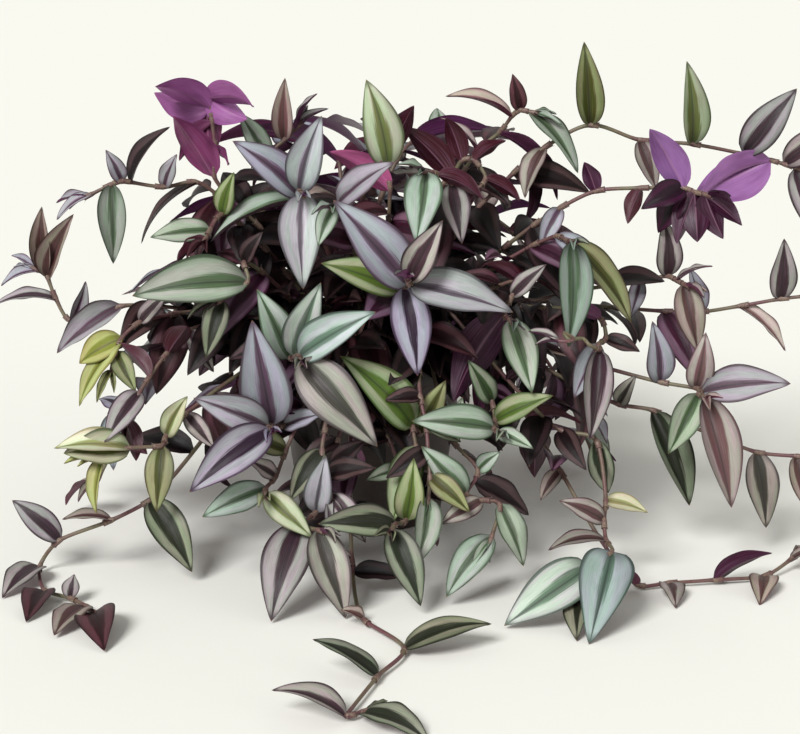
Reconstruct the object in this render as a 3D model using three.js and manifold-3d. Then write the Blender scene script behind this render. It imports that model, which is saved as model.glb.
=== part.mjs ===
// A potted tradescantia: a tapered nursery pot, its potting mix, and leafy stems that rise from
// the mix, arch over the rim all round and trail along the surface that the pot stands on.
// Millimetres, +Z up. The origin is the centre of the pot's foot, and the viewer stands at -Y.

import * as THREE from "three";
import Module from "manifold-3d";

const wasm = await Module();
wasm.setup();

// Driving dimensions
const POT = {
  height: 112,
  rimRadius: 63,
  rimDepth: 14,
  rimStep: 3,
  footRadius: 46,
  wall: 2.2,
  floor: 3,
  drainRadius: 5,
  drains: 5,
  drainCircle: 27,
  sides: 30,
};
const SOIL = { top: 100, dome: 5, clearance: 0.4, rootDepth: 15, holeRadius: 3.3, rootsWithin: 48 };
const STEM = {
  rootRadius: 1.9,
  tipRadius: 1.35,
  sides: 3,
  budLength: 9,
  ringStep: 58,
  bareStep: 32,
  gap: 4.9,
};
const LEAF = {
  halfWidth: 0.24,
  widest: 18,
  narrowest: 6,
  arch: 0.09,
  fold: 0.2,
  short: 57,
  rootDepth: 0.4,
  longForm: [
    [0.12, 0.56, 2],
    [0.42, 1, 1.5],
    [0.74, 0.62, 1.3],
  ],
  shortForm: [
    [0.15, 0.66, 2],
    [0.58, 0.92, 1.4],
  ],
};
// Leaves on the bare lower reaches: how many, their lengths, and how far above the rim they start
const INNER = { leaves: 98, shortest: 38, longest: 54, aboveRim: 8 };

// The room kept round a leaf and a stem, and the height of a stem that lies on the surface
const CLEAR = { leaf: 0.7, stem: 0.35, pot: 0.6, stemToPot: 3 };
const REST_HEIGHT = 3.5;

// How far a stem may shift, swing, lean and rise while it looks for a clear way
const BOW = { tries: 900, shift: 18, swing: 44, lean: 22, rise: 34, holes: 10 };

// Shoots that the photograph doesn't show, at the back and the sides. Angles are degrees round
// the pot from +X, reach is how far the shoot ends from the pot's axis, crest and end are heights.
const HIDDEN = [
  { name: "back_low", count: 4, from: 24, to: 156, reach: 176, crest: 138, end: 12, nodes: 6 },
  { name: "back_middle", count: 5, from: 15, to: 165, reach: 165, crest: 196, end: 112, nodes: 6 },
  { name: "back_high", count: 3, from: 35, to: 145, reach: 104, crest: 238, end: 222, nodes: 5 },
  { name: "side_left", count: 1, from: 172, to: 196, reach: 165, crest: 140, end: 30, nodes: 6 },
];

// The photograph's view: where the camera aims, how far it stands, and how large a pixel is there
const VIEW = {
  centreX: 400,
  centreY: 367,
  mmPerPixel: 0.65,
  elevation: 15,
  distance: 1300,
  aimX: 19.5,
  aimZ: 97.5,
};

const vec = (x, y, z) => new THREE.Vector3(x, y, z);
const radians = (degrees) => (degrees * Math.PI) / 180;

// A seeded random source, so that every build grows the same plant
function randomSource(seed) {
  let state = seed >>> 0;
  return () => {
    state = (Math.imul(state, 1664525) + 1013904223) >>> 0;
    return state / 4294967296;
  };
}
const random = randomSource(20260);
const between = (low, high) => low + (high - low) * random();

// The point at a given depth (its Y) that the photograph shows at a pixel. What would lie below
// the surface rests on it instead, nearer the viewer along the same line of sight.
function seen(pixelX, pixelY, depth, lowest = REST_HEIGHT) {
  const tilt = radians(VIEW.elevation);
  const forward = vec(0, Math.cos(tilt), -Math.sin(tilt));
  const up = vec(0, Math.sin(tilt), Math.cos(tilt));
  const eye = vec(VIEW.aimX, 0, VIEW.aimZ).addScaledVector(forward, -VIEW.distance);
  const perPixel = VIEW.mmPerPixel / VIEW.distance;
  const ray = forward
    .clone()
    .addScaledVector(vec(1, 0, 0), (pixelX - VIEW.centreX) * perPixel)
    .addScaledVector(up, (VIEW.centreY - pixelY) * perPixel);
  const point = eye.clone().addScaledVector(ray, (depth - eye.y) / ray.y);
  if (point.z >= lowest) return point;
  return eye.clone().addScaledVector(ray, (lowest - eye.z) / ray.z);
}

// Which way a leaf's upper face looks
const FRONT = vec(0, -0.8, 0.6);
const UNDER = vec(0, 0.85, 0.5);
const ABOVE = vec(0, -0.15, 1);
const LEFT = vec(-0.7, -0.5, 0.5);
const RIGHT = vec(0.7, -0.5, 0.5);

// Shoots that the photograph shows. Each row is one leaf, from the shoot's first leaf to its
// last: [node x, node y, node depth, leaf tip x, leaf tip y, how much nearer the tip is, face].
const SHOOTS = {
  crown_left: [
    [304, 200, -60, 208, 236, 10, ABOVE],
    [300, 195, -69, 232, 141, 12],
    [299, 191, -78, 320, 117, 12],
    [302, 194, -88, 303, 288, 24],
  ],
  crown_back: [
    [268, 160, -8, 238, 112, 6],
    [284, 140, -6, 285, 78, 2],
    [296, 128, -4, 316, 110, 4, ABOVE],
  ],
  purple_left: [
    [214, 176, -30, 176, 112, 2, UNDER],
    [215, 150, -26, 216, 184, 14, UNDER],
    [212, 122, -22, 178, 160, 6, UNDER],
    [210, 108, -20, 154, 82, 34, UNDER],
    [206, 98, -20, 256, 104, 34, UNDER],
  ],
  left_high: [
    [196, 182, -34, 137, 240, 10, ABOVE],
    [164, 187, -36, 177, 154, 4],
    [130, 182, -38, 169, 126, 2, LEFT],
    [122, 181, -40, 106, 150, 4],
    [112, 184, -42, 113, 264, 10],
    [92, 194, -44, 58, 216, 6, ABOVE],
  ],
  left_reach: [
    [122, 306, -66, 55, 352, 8],
    [72, 321, -62, 84, 284, 2, RIGHT],
    [56, 299, -58, -6, 303, 4, ABOVE],
    [48, 278, -54, 73, 214, 4],
    [45, 272, -52, 39, 209, 4],
    [38, 270, -50, 0, 284, 6, ABOVE],
  ],
  left_shoulder: [
    [222, 214, -62, 234, 172, 6],
    [210, 230, -72, 150, 238, 10],
    [206, 238, -80, 176, 262, 12, UNDER],
  ],
  left_arch: [
    [244, 262, -84, 262, 232, 4],
    [248, 282, -92, 132, 296, 10],
    [222, 300, -98, 206, 358, 14],
  ],
  left_yellow: [
    [140, 322, -84, 168, 292, 2],
    [122, 338, -92, 78, 406, 10, LEFT],
    [116, 352, -98, 136, 392, 14],
    [112, 366, -102, 32, 384, 6, ABOVE],
  ],
  left_dark: [
    [190, 330, -84, 214, 372, 8],
    [168, 352, -92, 190, 318, 4, UNDER],
    [150, 376, -104, 112, 352, 6, UNDER],
    [140, 392, -112, 108, 434, 12],
    [128, 420, -120, 130, 462, 12, UNDER],
  ],
  left_low: [
    [186, 414, -116, 214, 448, 8],
    [166, 436, -122, 188, 396, 4],
    [162, 446, -130, 156, 512, 14],
    [130, 448, -136, 54, 446, 8],
    [104, 456, -140, 96, 514, 12, LEFT],
  ],
  crown_middle: [
    [400, 290, -98, 322, 262, 8],
    [404, 287, -107, 418, 376, 14],
    [408, 284, -116, 333, 200, 15],
    [411, 284, -125, 513, 311, 18],
    [409, 281, -134, 441, 221, 10],
  ],
  crown_inner: [
    [348, 214, -76, 392, 240, 4, ABOVE],
    [338, 203, -90, 394, 162, 10],
    [334, 206, -98, 318, 246, 14],
  ],
  top_green: [
    [390, 190, -30, 330, 150, 4, UNDER],
    [388, 166, -26, 367, 80, 2],
    [394, 150, -22, 414, 104, 2, UNDER],
  ],
  over_middle: [
    [452, 184, -56, 462, 244, 22],
    [438, 174, -64, 482, 204, 14, UNDER],
    [426, 172, -74, 416, 244, 34],
  ],
  top_dark: [
    [440, 188, -12, 408, 204, 12, UNDER],
    [452, 176, -16, 404, 126, 2, UNDER],
    [462, 160, -18, 446, 116, 6, UNDER],
    [474, 160, -19, 506, 140, 8, UNDER],
    [486, 178, -22, 522, 200, 12, UNDER],
    [476, 190, -28, 458, 226, 16, UNDER],
  ],
  top_middle: [
    [478, 150, 4, 440, 117, 2, ABOVE],
    [500, 132, 2, 562, 202, 10, ABOVE],
    [512, 116, 0, 446, 94, 2, ABOVE],
    [520, 110, -2, 513, 74, 2],
    [530, 112, -4, 577, 168, 6, ABOVE],
  ],
  top_reach: [
    [544, 148, -8, 524, 196, 8, ABOVE],
    [590, 125, -8, 585, 42, 2],
    [640, 140, -10, 656, 190, 10],
    [692, 144, -12, 687, 61, 2],
    [744, 154, -14, 796, 88, 4],
    [770, 160, -16, 697, 198, 14, UNDER],
    [784, 164, -18, 842, 122, 6],
    [796, 168, -20, 818, 238, 14],
  ],
  purple_reach: [
    [560, 208, -40, 540, 250, 12],
    [596, 191, -44, 584, 162, 3, UNDER],
    [640, 188, -48, 628, 224, 8, UNDER],
    [684, 188, -52, 650, 127, 4, UNDER],
    [694, 192, -56, 676, 244, 12, UNDER],
    [704, 194, -60, 742, 226, 10, UNDER],
  ],
  right_shoulder: [
    [556, 236, -60, 602, 266, 6],
    [566, 240, -70, 630, 324, 12, RIGHT],
    [572, 242, -80, 568, 348, 18],
  ],
  right_back: [
    [640, 280, -40, 630, 318, 8],
    [668, 276, -44, 664, 218, 4],
    [676, 280, -50, 712, 264, 6, ABOVE],
    [684, 284, -56, 698, 352, 12],
  ],
  right_far: [
    [700, 312, -30, 690, 268, 4],
    [740, 306, -32, 785, 352, 8, ABOVE],
    [780, 299, -34, 784, 238, 4],
    [806, 296, -36, 846, 320, 8],
  ],
  right_cluster: [
    [660, 382, -76, 653, 322, 6],
    [696, 388, -84, 706, 334, 8],
    [702, 391, -92, 791, 384, 12],
    [698, 394, -100, 668, 454, 12],
    [704, 397, -108, 732, 508, 18],
  ],
  right_stem: [
    [618, 404, -62, 634, 372, 4],
    [652, 410, -66, 690, 506, 12],
    [756, 452, -74, 766, 528, 10],
    [796, 456, -78, 806, 508, 8],
    [812, 458, -80, 846, 430, 4],
  ],
  right_mid: [
    [600, 318, -76, 566, 306, 6, UNDER],
    [606, 338, -82, 640, 352, 6],
    [598, 344, -90, 574, 398, 10],
    [600, 350, -98, 590, 440, 16],
    [592, 346, -104, 548, 340, 10, ABOVE],
  ],
  right_lean: [
    [520, 280, -76, 484, 262, 6, UNDER],
    [512, 296, -82, 546, 264, 2],
    [504, 314, -90, 452, 398, 4, UNDER],
    [510, 320, -100, 532, 393, 16],
  ],
  right_green: [
    [492, 402, -96, 468, 360, 6],
    [495, 420, -106, 552, 395, 8],
    [494, 428, -116, 413, 420, 14],
    [498, 432, -126, 534, 452, 20],
  ],
  centre_green: [
    [420, 434, -104, 446, 380, 4],
    [413, 426, -114, 343, 356, 10],
    [416, 446, -124, 392, 522, 18],
  ],
  centre_left: [
    [290, 358, -112, 258, 290, 8],
    [295, 357, -120, 319, 284, 8],
    [299, 356, -129, 374, 311, 14],
    [300, 360, -138, 377, 446, 22],
  ],
  low_left: [
    [284, 426, -120, 325, 412, 10],
    [272, 425, -129, 252, 320, 12],
    [268, 427, -138, 193, 398, 14],
    [271, 430, -148, 189, 491, 22],
  ],
  skirt_left: [
    [286, 450, -126, 238, 436, 10],
    [276, 476, -136, 246, 458, 6],
    [266, 488, -148, 202, 517, 12],
    [266, 494, -160, 312, 537, 16],
  ],
  skirt_front: [
    [338, 440, -110, 300, 462, 10],
    [330, 470, -118, 366, 440, 8],
    [316, 512, -138, 326, 455, 4],
    [300, 524, -156, 271, 621, 22],
    [318, 530, -168, 346, 618, 18],
  ],
  skirt_middle: [
    [388, 436, -106, 350, 446, 10],
    [400, 470, -116, 366, 480, 10],
    [406, 520, -140, 414, 458, 4],
    [396, 524, -152, 318, 524, 10],
    [392, 530, -164, 421, 606, 22],
  ],
  skirt_right: [
    [452, 440, -106, 462, 398, 6],
    [478, 470, -112, 500, 452, 4],
    [466, 494, -126, 421, 446, 6],
    [482, 500, -134, 440, 524, 10],
    [500, 504, -140, 524, 566, 16],
    [492, 536, -154, 446, 597, 18],
  ],
  right_low: [
    [560, 430, -90, 584, 462, 8],
    [596, 440, -98, 604, 502, 10],
    [606, 500, -120, 648, 512, 8],
    [604, 520, -132, 560, 500, 6],
    [606, 540, -142, 548, 548, 10, ABOVE],
    [612, 552, -160, 590, 642, 30],
    [590, 566, -172, 504, 626, 26],
    [584, 590, -176, 578, 650, 20],
  ],
  skirt_pot_left: [
    [330, 398, -104, 296, 420, 8],
    [326, 424, -112, 362, 404, 8],
    [322, 450, -118, 290, 500, 12],
    [326, 474, -124, 376, 468, 10],
    [330, 494, -130, 352, 548, 14],
  ],
  skirt_pot_right: [
    [420, 396, -104, 384, 400, 8],
    [426, 424, -112, 462, 446, 8],
    [428, 450, -120, 386, 478, 10],
    [430, 476, -128, 470, 512, 12],
    [428, 498, -134, 418, 560, 14],
  ],
  trail_right: [
    [560, 470, -92, 540, 500, 8],
    [636, 584, -120, 614, 560, -6],
    [668, 583, -120, 676, 606, 20],
    [714, 580, -120, 772, 552, -4, UNDER],
    [764, 576, -120, 760, 602, 22],
    [790, 560, -120, 830, 548, 0, ABOVE],
  ],
  trail_left: [
    [150, 500, -120, 192, 572, 20],
    [112, 520, -120, 62, 520, 8, ABOVE],
    [60, 540, -120, 12, 500, -8],
    [40, 566, -120, 2, 596, 14],
    [44, 590, -120, 26, 620, 14],
    [70, 598, -120, 74, 574, -6],
    [86, 606, -120, 54, 636, 12],
    [94, 612, -120, 104, 650, 16],
  ],
  trail_front: [
    [352, 560, -130, 326, 560, 8],
    [364, 620, -130, 344, 606, -4],
    [404, 648, -130, 492, 624, -8],
    [378, 676, -130, 312, 640, -10],
    [346, 716, -130, 272, 688, -8],
    [362, 712, -130, 430, 738, 12],
  ],
};

// The pot's outer radius at a height
function potRadius(height) {
  const shoulder = POT.height - POT.rimDepth;
  if (height > shoulder) return POT.rimRadius;
  return POT.footRadius + ((POT.rimRadius - POT.rimStep - POT.footRadius) * height) / shoulder;
}

// Whether a point keeps clear of the pot, the soil and the surface below
function isClearOfPot(point, margin) {
  if (point.z < margin) return false;
  if (point.z > POT.height + margin) return true;
  return Math.hypot(point.x, point.y) > potRadius(point.z) + margin;
}

// A closed shape made of rings of corners, drawn to a point at both ends
function ringShape(root, rings, tip) {
  const points = [root, ...rings.flat(), tip];
  const sides = rings[0].length;
  const faces = [];
  const last = 1 + (rings.length - 1) * sides;
  for (let corner = 0; corner < sides; corner += 1) {
    const next = (corner + 1) % sides;
    faces.push([0, 1 + next, 1 + corner]);
    for (let ring = 0; ring < rings.length - 1; ring += 1) {
      const a = 1 + ring * sides + corner;
      const b = 1 + ring * sides + next;
      if (corner % 2 === 0) faces.push([a, b, a + sides], [b, b + sides, a + sides]);
      else faces.push([a, b, b + sides], [a, b + sides, a + sides]);
    }
    faces.push([last + corner, last + next, points.length - 1]);
  }
  return { points, faces };
}

// A leaf blade: a root point inside the stem, rings of left edge, upper midrib, right edge and
// lower midrib, then the tip
function bladeShape(leaf, swell = 0) {
  const along = leaf.tip.clone().sub(leaf.base);
  const length = along.length();
  along.normalize();
  const normal = leaf.face.clone().addScaledVector(along, -leaf.face.dot(along)).normalize();
  normal.applyAxisAngle(along, leaf.roll);
  const left = normal.clone().cross(along);
  const form = length < LEAF.short ? LEAF.shortForm : LEAF.longForm;
  const half = Math.min(LEAF.widest, Math.max(LEAF.narrowest, LEAF.halfWidth * length * leaf.width));
  const rings = form.map(([share, breadth, thickness]) => {
    const middle = leaf.base
      .clone()
      .addScaledVector(along, share * length)
      .addScaledVector(normal, LEAF.arch * length * 4 * share * (1 - share));
    const reach = half * breadth;
    const edge = reach + swell;
    const thick = thickness / 2 + swell;
    return [
      middle.clone().addScaledVector(left, edge).addScaledVector(normal, reach * LEAF.fold),
      middle.clone().addScaledVector(normal, thick),
      middle.clone().addScaledVector(left, -edge).addScaledVector(normal, reach * LEAF.fold),
      middle.clone().addScaledVector(normal, -thick),
    ];
  });
  const root = leaf.base.clone().addScaledVector(along, -LEAF.rootDepth);
  return ringShape(root, rings, leaf.tip.clone().addScaledVector(along, swell));
}

// Where the rings of a stem sit along its curve: one at every bend, more on a long reach, and
// close together between the soil and the first node
function ringPlaces({ bends, bareSpans }) {
  const spans = bends.length - 1;
  const places = [0];
  for (let span = 0; span < spans; span += 1) {
    const reach = bends[span].distanceTo(bends[span + 1]);
    const longest = span < bareSpans ? STEM.bareStep : STEM.ringStep;
    const steps = span ? Math.ceil(reach / longest) : 1;
    for (let step = 1; step <= steps; step += 1) places.push((span + step / steps) / spans);
  }
  return places;
}

// The pointed end of a stem
const curveOf = ({ bends }) => new THREE.CatmullRomCurve3(bends, false, "centripetal");
function budEnd({ bends }, curve) {
  const end = bends[bends.length - 1].clone().addScaledVector(curve.getTangent(1), STEM.budLength);
  end.z = Math.max(end.z, 1.5);
  return end;
}

// A stem of few sides along its curve, ending in a pointed bud
function stemShape(stem, swell = 0) {
  const curve = curveOf(stem);
  const side = vec(1, 0.3, 0);
  const rings = ringPlaces(stem).map((place) => {
    const centre = curve.getPoint(place);
    const along = curve.getTangent(place);
    side.addScaledVector(along, -side.dot(along)).normalize();
    const other = along.clone().cross(side);
    const radius = STEM.rootRadius + (STEM.tipRadius - STEM.rootRadius) * place + swell;
    return Array.from({ length: STEM.sides }, (_, corner) => {
      const angle = (corner / STEM.sides) * Math.PI * 2;
      return centre
        .clone()
        .addScaledVector(side, radius * Math.cos(angle))
        .addScaledVector(other, radius * Math.sin(angle));
    });
  });
  const foot = stem.bends[0].clone().setZ(stem.bends[0].z - 0.1);
  return ringShape(foot, rings, budEnd(stem, curve));
}

// Triangles and edges of a shape, ready for the crossing test
function outlineOf(shape) {
  const edges = [];
  const known = new Set();
  const triangles = shape.faces.map((face) => {
    face.forEach((from, corner) => {
      const to = face[(corner + 1) % 3];
      const key = from < to ? from * 4096 + to : to * 4096 + from;
      if (known.has(key)) return;
      known.add(key);
      edges.push([shape.points[from], shape.points[to]]);
    });
    const [a, b, c] = face.map((index) => shape.points[index]);
    return { a, b, c, box: new THREE.Box3().setFromPoints([a, b, c]) };
  });
  return { edges, triangles, box: new THREE.Box3().setFromPoints(shape.points) };
}

// Whether an edge passes through a triangle
function pierces(from, to, triangle) {
  const { a, b, c, box } = triangle;
  if (Math.max(from.x, to.x) < box.min.x || Math.min(from.x, to.x) > box.max.x) return false;
  if (Math.max(from.y, to.y) < box.min.y || Math.min(from.y, to.y) > box.max.y) return false;
  if (Math.max(from.z, to.z) < box.min.z || Math.min(from.z, to.z) > box.max.z) return false;
  const volume = (p, q, r, s) =>
    (q.x - p.x) * ((r.y - p.y) * (s.z - p.z) - (r.z - p.z) * (s.y - p.y)) -
    (q.y - p.y) * ((r.x - p.x) * (s.z - p.z) - (r.z - p.z) * (s.x - p.x)) +
    (q.z - p.z) * ((r.x - p.x) * (s.y - p.y) - (r.y - p.y) * (s.x - p.x));
  if (volume(from, a, b, c) > 0 === volume(to, a, b, c) > 0) return false;
  const turn = volume(from, to, a, b) > 0;
  return turn === volume(from, to, b, c) > 0 && turn === volume(from, to, c, a) > 0;
}

// Whether two outlines cut into each other
function meets(one, other) {
  if (!one.box.intersectsBox(other.box)) return false;
  const cuts = (first, second) =>
    first.edges.some(([from, to]) => second.triangles.some((face) => pierces(from, to, face)));
  return cuts(one, other) || cuts(other, one);
}

// Holes in the soil, spread evenly, each taken by the shoot that suits it best
const holeCount = Object.keys(SHOOTS).length + HIDDEN.reduce((sum, group) => sum + group.count, 0);
const holes = Array.from({ length: holeCount }, (_, index) => {
  const radius = SOIL.rootsWithin * Math.sqrt((index + 0.5) / holeCount);
  const angle = index * Math.PI * (3 - Math.sqrt(5));
  return { x: radius * Math.cos(angle), y: radius * Math.sin(angle), radius };
});

// The bends of a stem from its hole to its first node, over the rim where it hangs outside
function bendsTo(hole, first, bow) {
  const bends = [vec(hole.x, hole.y, SOIL.top - SOIL.rootDepth), vec(hole.x, hole.y, SOIL.top + 9)];
  const reach = Math.hypot(first.x, first.y);
  const toward = vec(first.x / reach, first.y / reach, 0);
  if (reach > POT.rimRadius - 14 && first.z < POT.height + 42) {
    const crest = Math.max(POT.height + 14 + bow.rise, Math.min(first.z + 18, POT.height + 34));
    const inner = toward.clone().multiplyScalar(Math.max(hole.radius * 0.4 + 26, 40));
    bends.push(inner.lerp(vec(hole.x, hole.y, 0), 0.35).setZ(crest - 3));
    if (reach > POT.rimRadius + 16) {
      const outer = toward.clone().multiplyScalar(POT.rimRadius + 8);
      bends.push(outer.setZ(crest));
    }
  } else {
    const middle = vec(hole.x, hole.y, SOIL.top + 9).lerp(first, 0.5);
    middle.addScaledVector(toward, -0.06 * reach);
    middle.z += 6 + bow.rise;
    bends.push(middle);
  }
  const aside = vec(-toward.y, toward.x, 0);
  bends[2].addScaledVector(aside, bow.lean);
  bends[bends.length - 1].addScaledVector(aside, bow.swing);
  return bends;
}

// The ring centres of a stem above the soil and below its first node
function bareBases(stem) {
  const curve = curveOf(stem);
  const first = stem.bareSpans / (stem.bends.length - 1);
  const places = ringPlaces(stem).filter((place) => place < first - 1e-6);
  return places.slice(2).map((place) => curve.getPoint(place));
}

// Points along a stem's middle line, and how near they come to the stems already placed
const stemLines = [];
const placedStems = [];
function middleLine(stem) {
  const curve = curveOf(stem);
  const centres = ringPlaces(stem).map((place) => curve.getPoint(place));
  centres.push(budEnd(stem, curve));
  return centres.slice(1).flatMap((centre, index) => {
    const before = centres[index];
    const steps = Math.ceil(before.distanceTo(centre) / 4);
    return Array.from({ length: steps }, (_, step) => before.clone().lerp(centre, (step + 1) / steps));
  });
}
function roomAround(line) {
  let room = Infinity;
  line.forEach((point) => {
    const out = Math.hypot(point.x, point.y);
    const isInside = point.z < SOIL.top ? out < SOIL.rootsWithin + 1 : out < POT.rimRadius - 9;
    if (!isInside && !isClearOfPot(point, CLEAR.stemToPot)) room = -1;
    stemLines.forEach((other) => {
      other.forEach((place) => {
        if (Math.abs(place.x - point.x) > room || Math.abs(place.y - point.y) > room) return;
        room = Math.min(room, point.distanceTo(place));
      });
    });
  });
  return room;
}

// Places a stem: tries free holes, then swings and depths, until it keeps clear of the others
function placeStem(nodesAt) {
  const start = nodesAt(0)[0];
  const angle = Math.atan2(start.y, start.x);
  const lowness = Math.min(1, Math.max(0, (255 - start.z) / 140));
  const wish = vec(Math.cos(angle), Math.sin(angle), 0).multiplyScalar(8 + 42 * lowness);
  const free = holes.filter((hole) => !hole.taken);
  free.sort((a, b) => Math.hypot(a.x - wish.x, a.y - wish.y) - Math.hypot(b.x - wish.x, b.y - wish.y));
  let best = { room: -Infinity };
  const attempts = [{ shift: 0, swing: 0, rise: 0, lean: 0, hole: free[0], cost: 0 }];
  for (let attempt = 0; attempt < BOW.tries; attempt += 1) {
    const loose = attempt / BOW.tries;
    const shift = between(-BOW.shift, BOW.shift) * loose;
    const swing = between(-BOW.swing, BOW.swing) * loose;
    const lean = between(-BOW.lean, BOW.lean) * loose;
    const rise = between(0, BOW.rise) * loose;
    const rank = Math.floor(between(0, BOW.holes) * loose);
    const hole = free[Math.min(rank, free.length - 1)];
    const cost = Math.abs(shift) / 5 + Math.abs(swing) / 12 + Math.abs(lean) / 12 + rise / 14 + rank / 2;
    attempts.push({ shift, swing, rise, lean, hole, cost });
  }
  attempts.sort((a, b) => a.cost - b.cost);
  for (const { hole, ...bow } of attempts) {
    const nodes = nodesAt(bow.shift);
    const bare = bendsTo(hole, nodes[0], bow);
    const stem = { bends: bare.concat(nodes), bareSpans: bare.length };
    const room = roomAround(middleLine(stem));
    if (room > best.room) best = { room, stem, hole, nodes };
    if (room > STEM.gap) break;
  }
  best.hole.taken = true;
  stemLines.push(middleLine(best.stem));
  return best;
}

// The small changes that a leaf tries, the least first, until it keeps clear of its neighbours
const changes = [];
for (const nearer of [0, 8, -8, 16, -16]) {
  for (const roll of [0, 12, -12, 25, -25, 42, -42]) {
    for (const aside of [0, 4, -4, 9, -9]) {
      for (const lift of [0, 5, 11]) {
        for (const size of [1, 0.9, 0.78]) {
          const cost =
            Math.abs(nearer) / 8 + Math.abs(roll) / 14 + Math.abs(aside) / 4 + lift / 4 + (1 - size) * 12;
          changes.push({ nearer, roll, aside, lift, size, cost });
        }
      }
    }
  }
}
changes.sort((a, b) => a.cost - b.cost);

const placedLeaves = [];
const withoutRoot = ({ points, faces }) => ({
  points: points.slice(1),
  faces: faces.filter((face) => face[0] > 0).map((face) => face.map((index) => index - 1)),
});

// Whether a leaf keeps clear of the pot, of every stem, and of the leaves placed before it
function keepsClear(leaf, owner) {
  const shape = bladeShape(leaf, CLEAR.leaf);
  const full = outlineOf(shape);
  const clearOfPot = full.edges.every(([from, to]) =>
    [0.2, 0.4, 0.6, 0.8, 1].every((share) => isClearOfPot(from.clone().lerp(to, share), CLEAR.pot)),
  );
  if (!clearOfPot) return false;
  const outer = outlineOf(withoutRoot(shape));
  const isCut = (other) => {
    if (other.owner !== owner) return meets(full, other.full);
    if (other.outer === undefined) return meets(outer, other.full);
    return meets(outer, other.full) || meets(full, other.outer);
  };
  return !placedStems.some(isCut) && !placedLeaves.some(isCut);
}

// Places one leaf with the least change that keeps it clear, or leaves it out
function placeLeaf(wish, owner) {
  for (const change of changes) {
    const reach = wish.tip.clone().sub(wish.base).multiplyScalar(change.size);
    const aside = reach.clone().cross(wish.face).normalize().multiplyScalar(change.aside);
    const tip = wish.base.clone().add(reach).add(aside);
    tip.y -= change.nearer;
    tip.z += change.lift;
    const leaf = { ...wish, tip, roll: radians(wish.roll + change.roll) };
    if (keepsClear(leaf, owner)) {
      const shape = bladeShape(leaf);
      const outer = outlineOf(withoutRoot(shape));
      placedLeaves.push({ owner, shape, full: outlineOf(shape), outer });
      return true;
    }
  }
  return false;
}

// Each shoot as its nodes and its wished leaves, first those of the photograph
const shoots = Object.entries(SHOOTS).map(([name, rows]) => {
  const nodesAt = (shift) => rows.map(([x, y, depth]) => seen(x, y, depth + shift));
  const leavesFrom = (nodes) =>
    rows.map(([, , , tipX, tipY, nearer, face], index) => {
      const base = nodes[index];
      const tip = seen(tipX, tipY, base.y - nearer, 2.2);
      const rests = base.z < 16 && face !== UNDER;
      return { base, tip, face: rests ? ABOVE : (face ?? FRONT), roll: 0, width: 1 };
    });
  return { name, nodesAt, leavesFrom };
});

HIDDEN.forEach((group) => {
  for (let index = 0; index < group.count; index += 1) {
    const share = (index + 0.5) / group.count;
    const angle = radians(group.from + (group.to - group.from) * share + between(-5, 5));
    const ahead = vec(Math.cos(angle), Math.sin(angle), 0);
    const reach = group.reach * (index % 2 ? 0.78 : 1) * between(0.94, 1.04);
    const bend = between(-14, 14);
    const places = Array.from({ length: group.nodes }, (_, node) => {
      const part = 0.12 + (0.88 * node) / (group.nodes - 1);
      const fall = Math.max(0, part - 0.3) / 0.7;
      const rise = Math.max(0, 0.3 - part) / 0.3;
      const height = group.crest + (group.end - group.crest) * fall * fall - 26 * rise * rise;
      const across = vec(-ahead.y, ahead.x, 0).multiplyScalar(bend * part * part);
      return ahead.clone().multiplyScalar(20 + (reach - 20) * part).add(across).setZ(height);
    });
    const nodesAt = (shift) => places.map((place) => place.clone().addScaledVector(ahead, shift * 0.6));
    const leavesFrom = (nodes) =>
      nodes.map((base, node) => {
        const before = nodes[Math.max(0, node - 1)];
        const after = nodes[Math.min(nodes.length - 1, node + 1)];
        const along = after.clone().sub(before).normalize();
        const across = along.clone().cross(vec(0, 0, 1)).normalize();
        const isLast = node === nodes.length - 1;
        const sideways = isLast ? 0.15 : (node % 2 ? 0.9 : -0.9) * between(0.8, 1.1);
        const way = along.multiplyScalar(0.55).addScaledVector(across, sideways);
        way.z += between(-0.05, 0.35);
        const length = between(54, 68) * (isLast ? 0.62 : 1);
        const tip = base.clone().addScaledVector(way.normalize(), length);
        tip.z = Math.max(tip.z, 3);
        const face = vec(0, 0, 1).addScaledVector(ahead, between(0.3, 0.9));
        return { base, tip, face, roll: between(-12, 12), width: between(0.9, 1.1) };
      });
    shoots.push({ name: `${group.name}_${index + 1}`, nodesAt, leavesFrom });
  }
});

shoots.forEach((shoot, owner) => {
  const { stem, hole, nodes } = placeStem(shoot.nodesAt);
  shoot.hole = hole;
  shoot.nodes = nodes;
  shoot.bare = bareBases(stem);
  shoot.shape = stemShape(stem);
  placedStems.push({ owner, full: outlineOf(stemShape(stem, CLEAR.stem)) });
});

shoots.forEach((shoot, owner) => {
  shoot.leavesFrom(shoot.nodes).forEach((leaf) => placeLeaf(leaf, owner));
});

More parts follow.
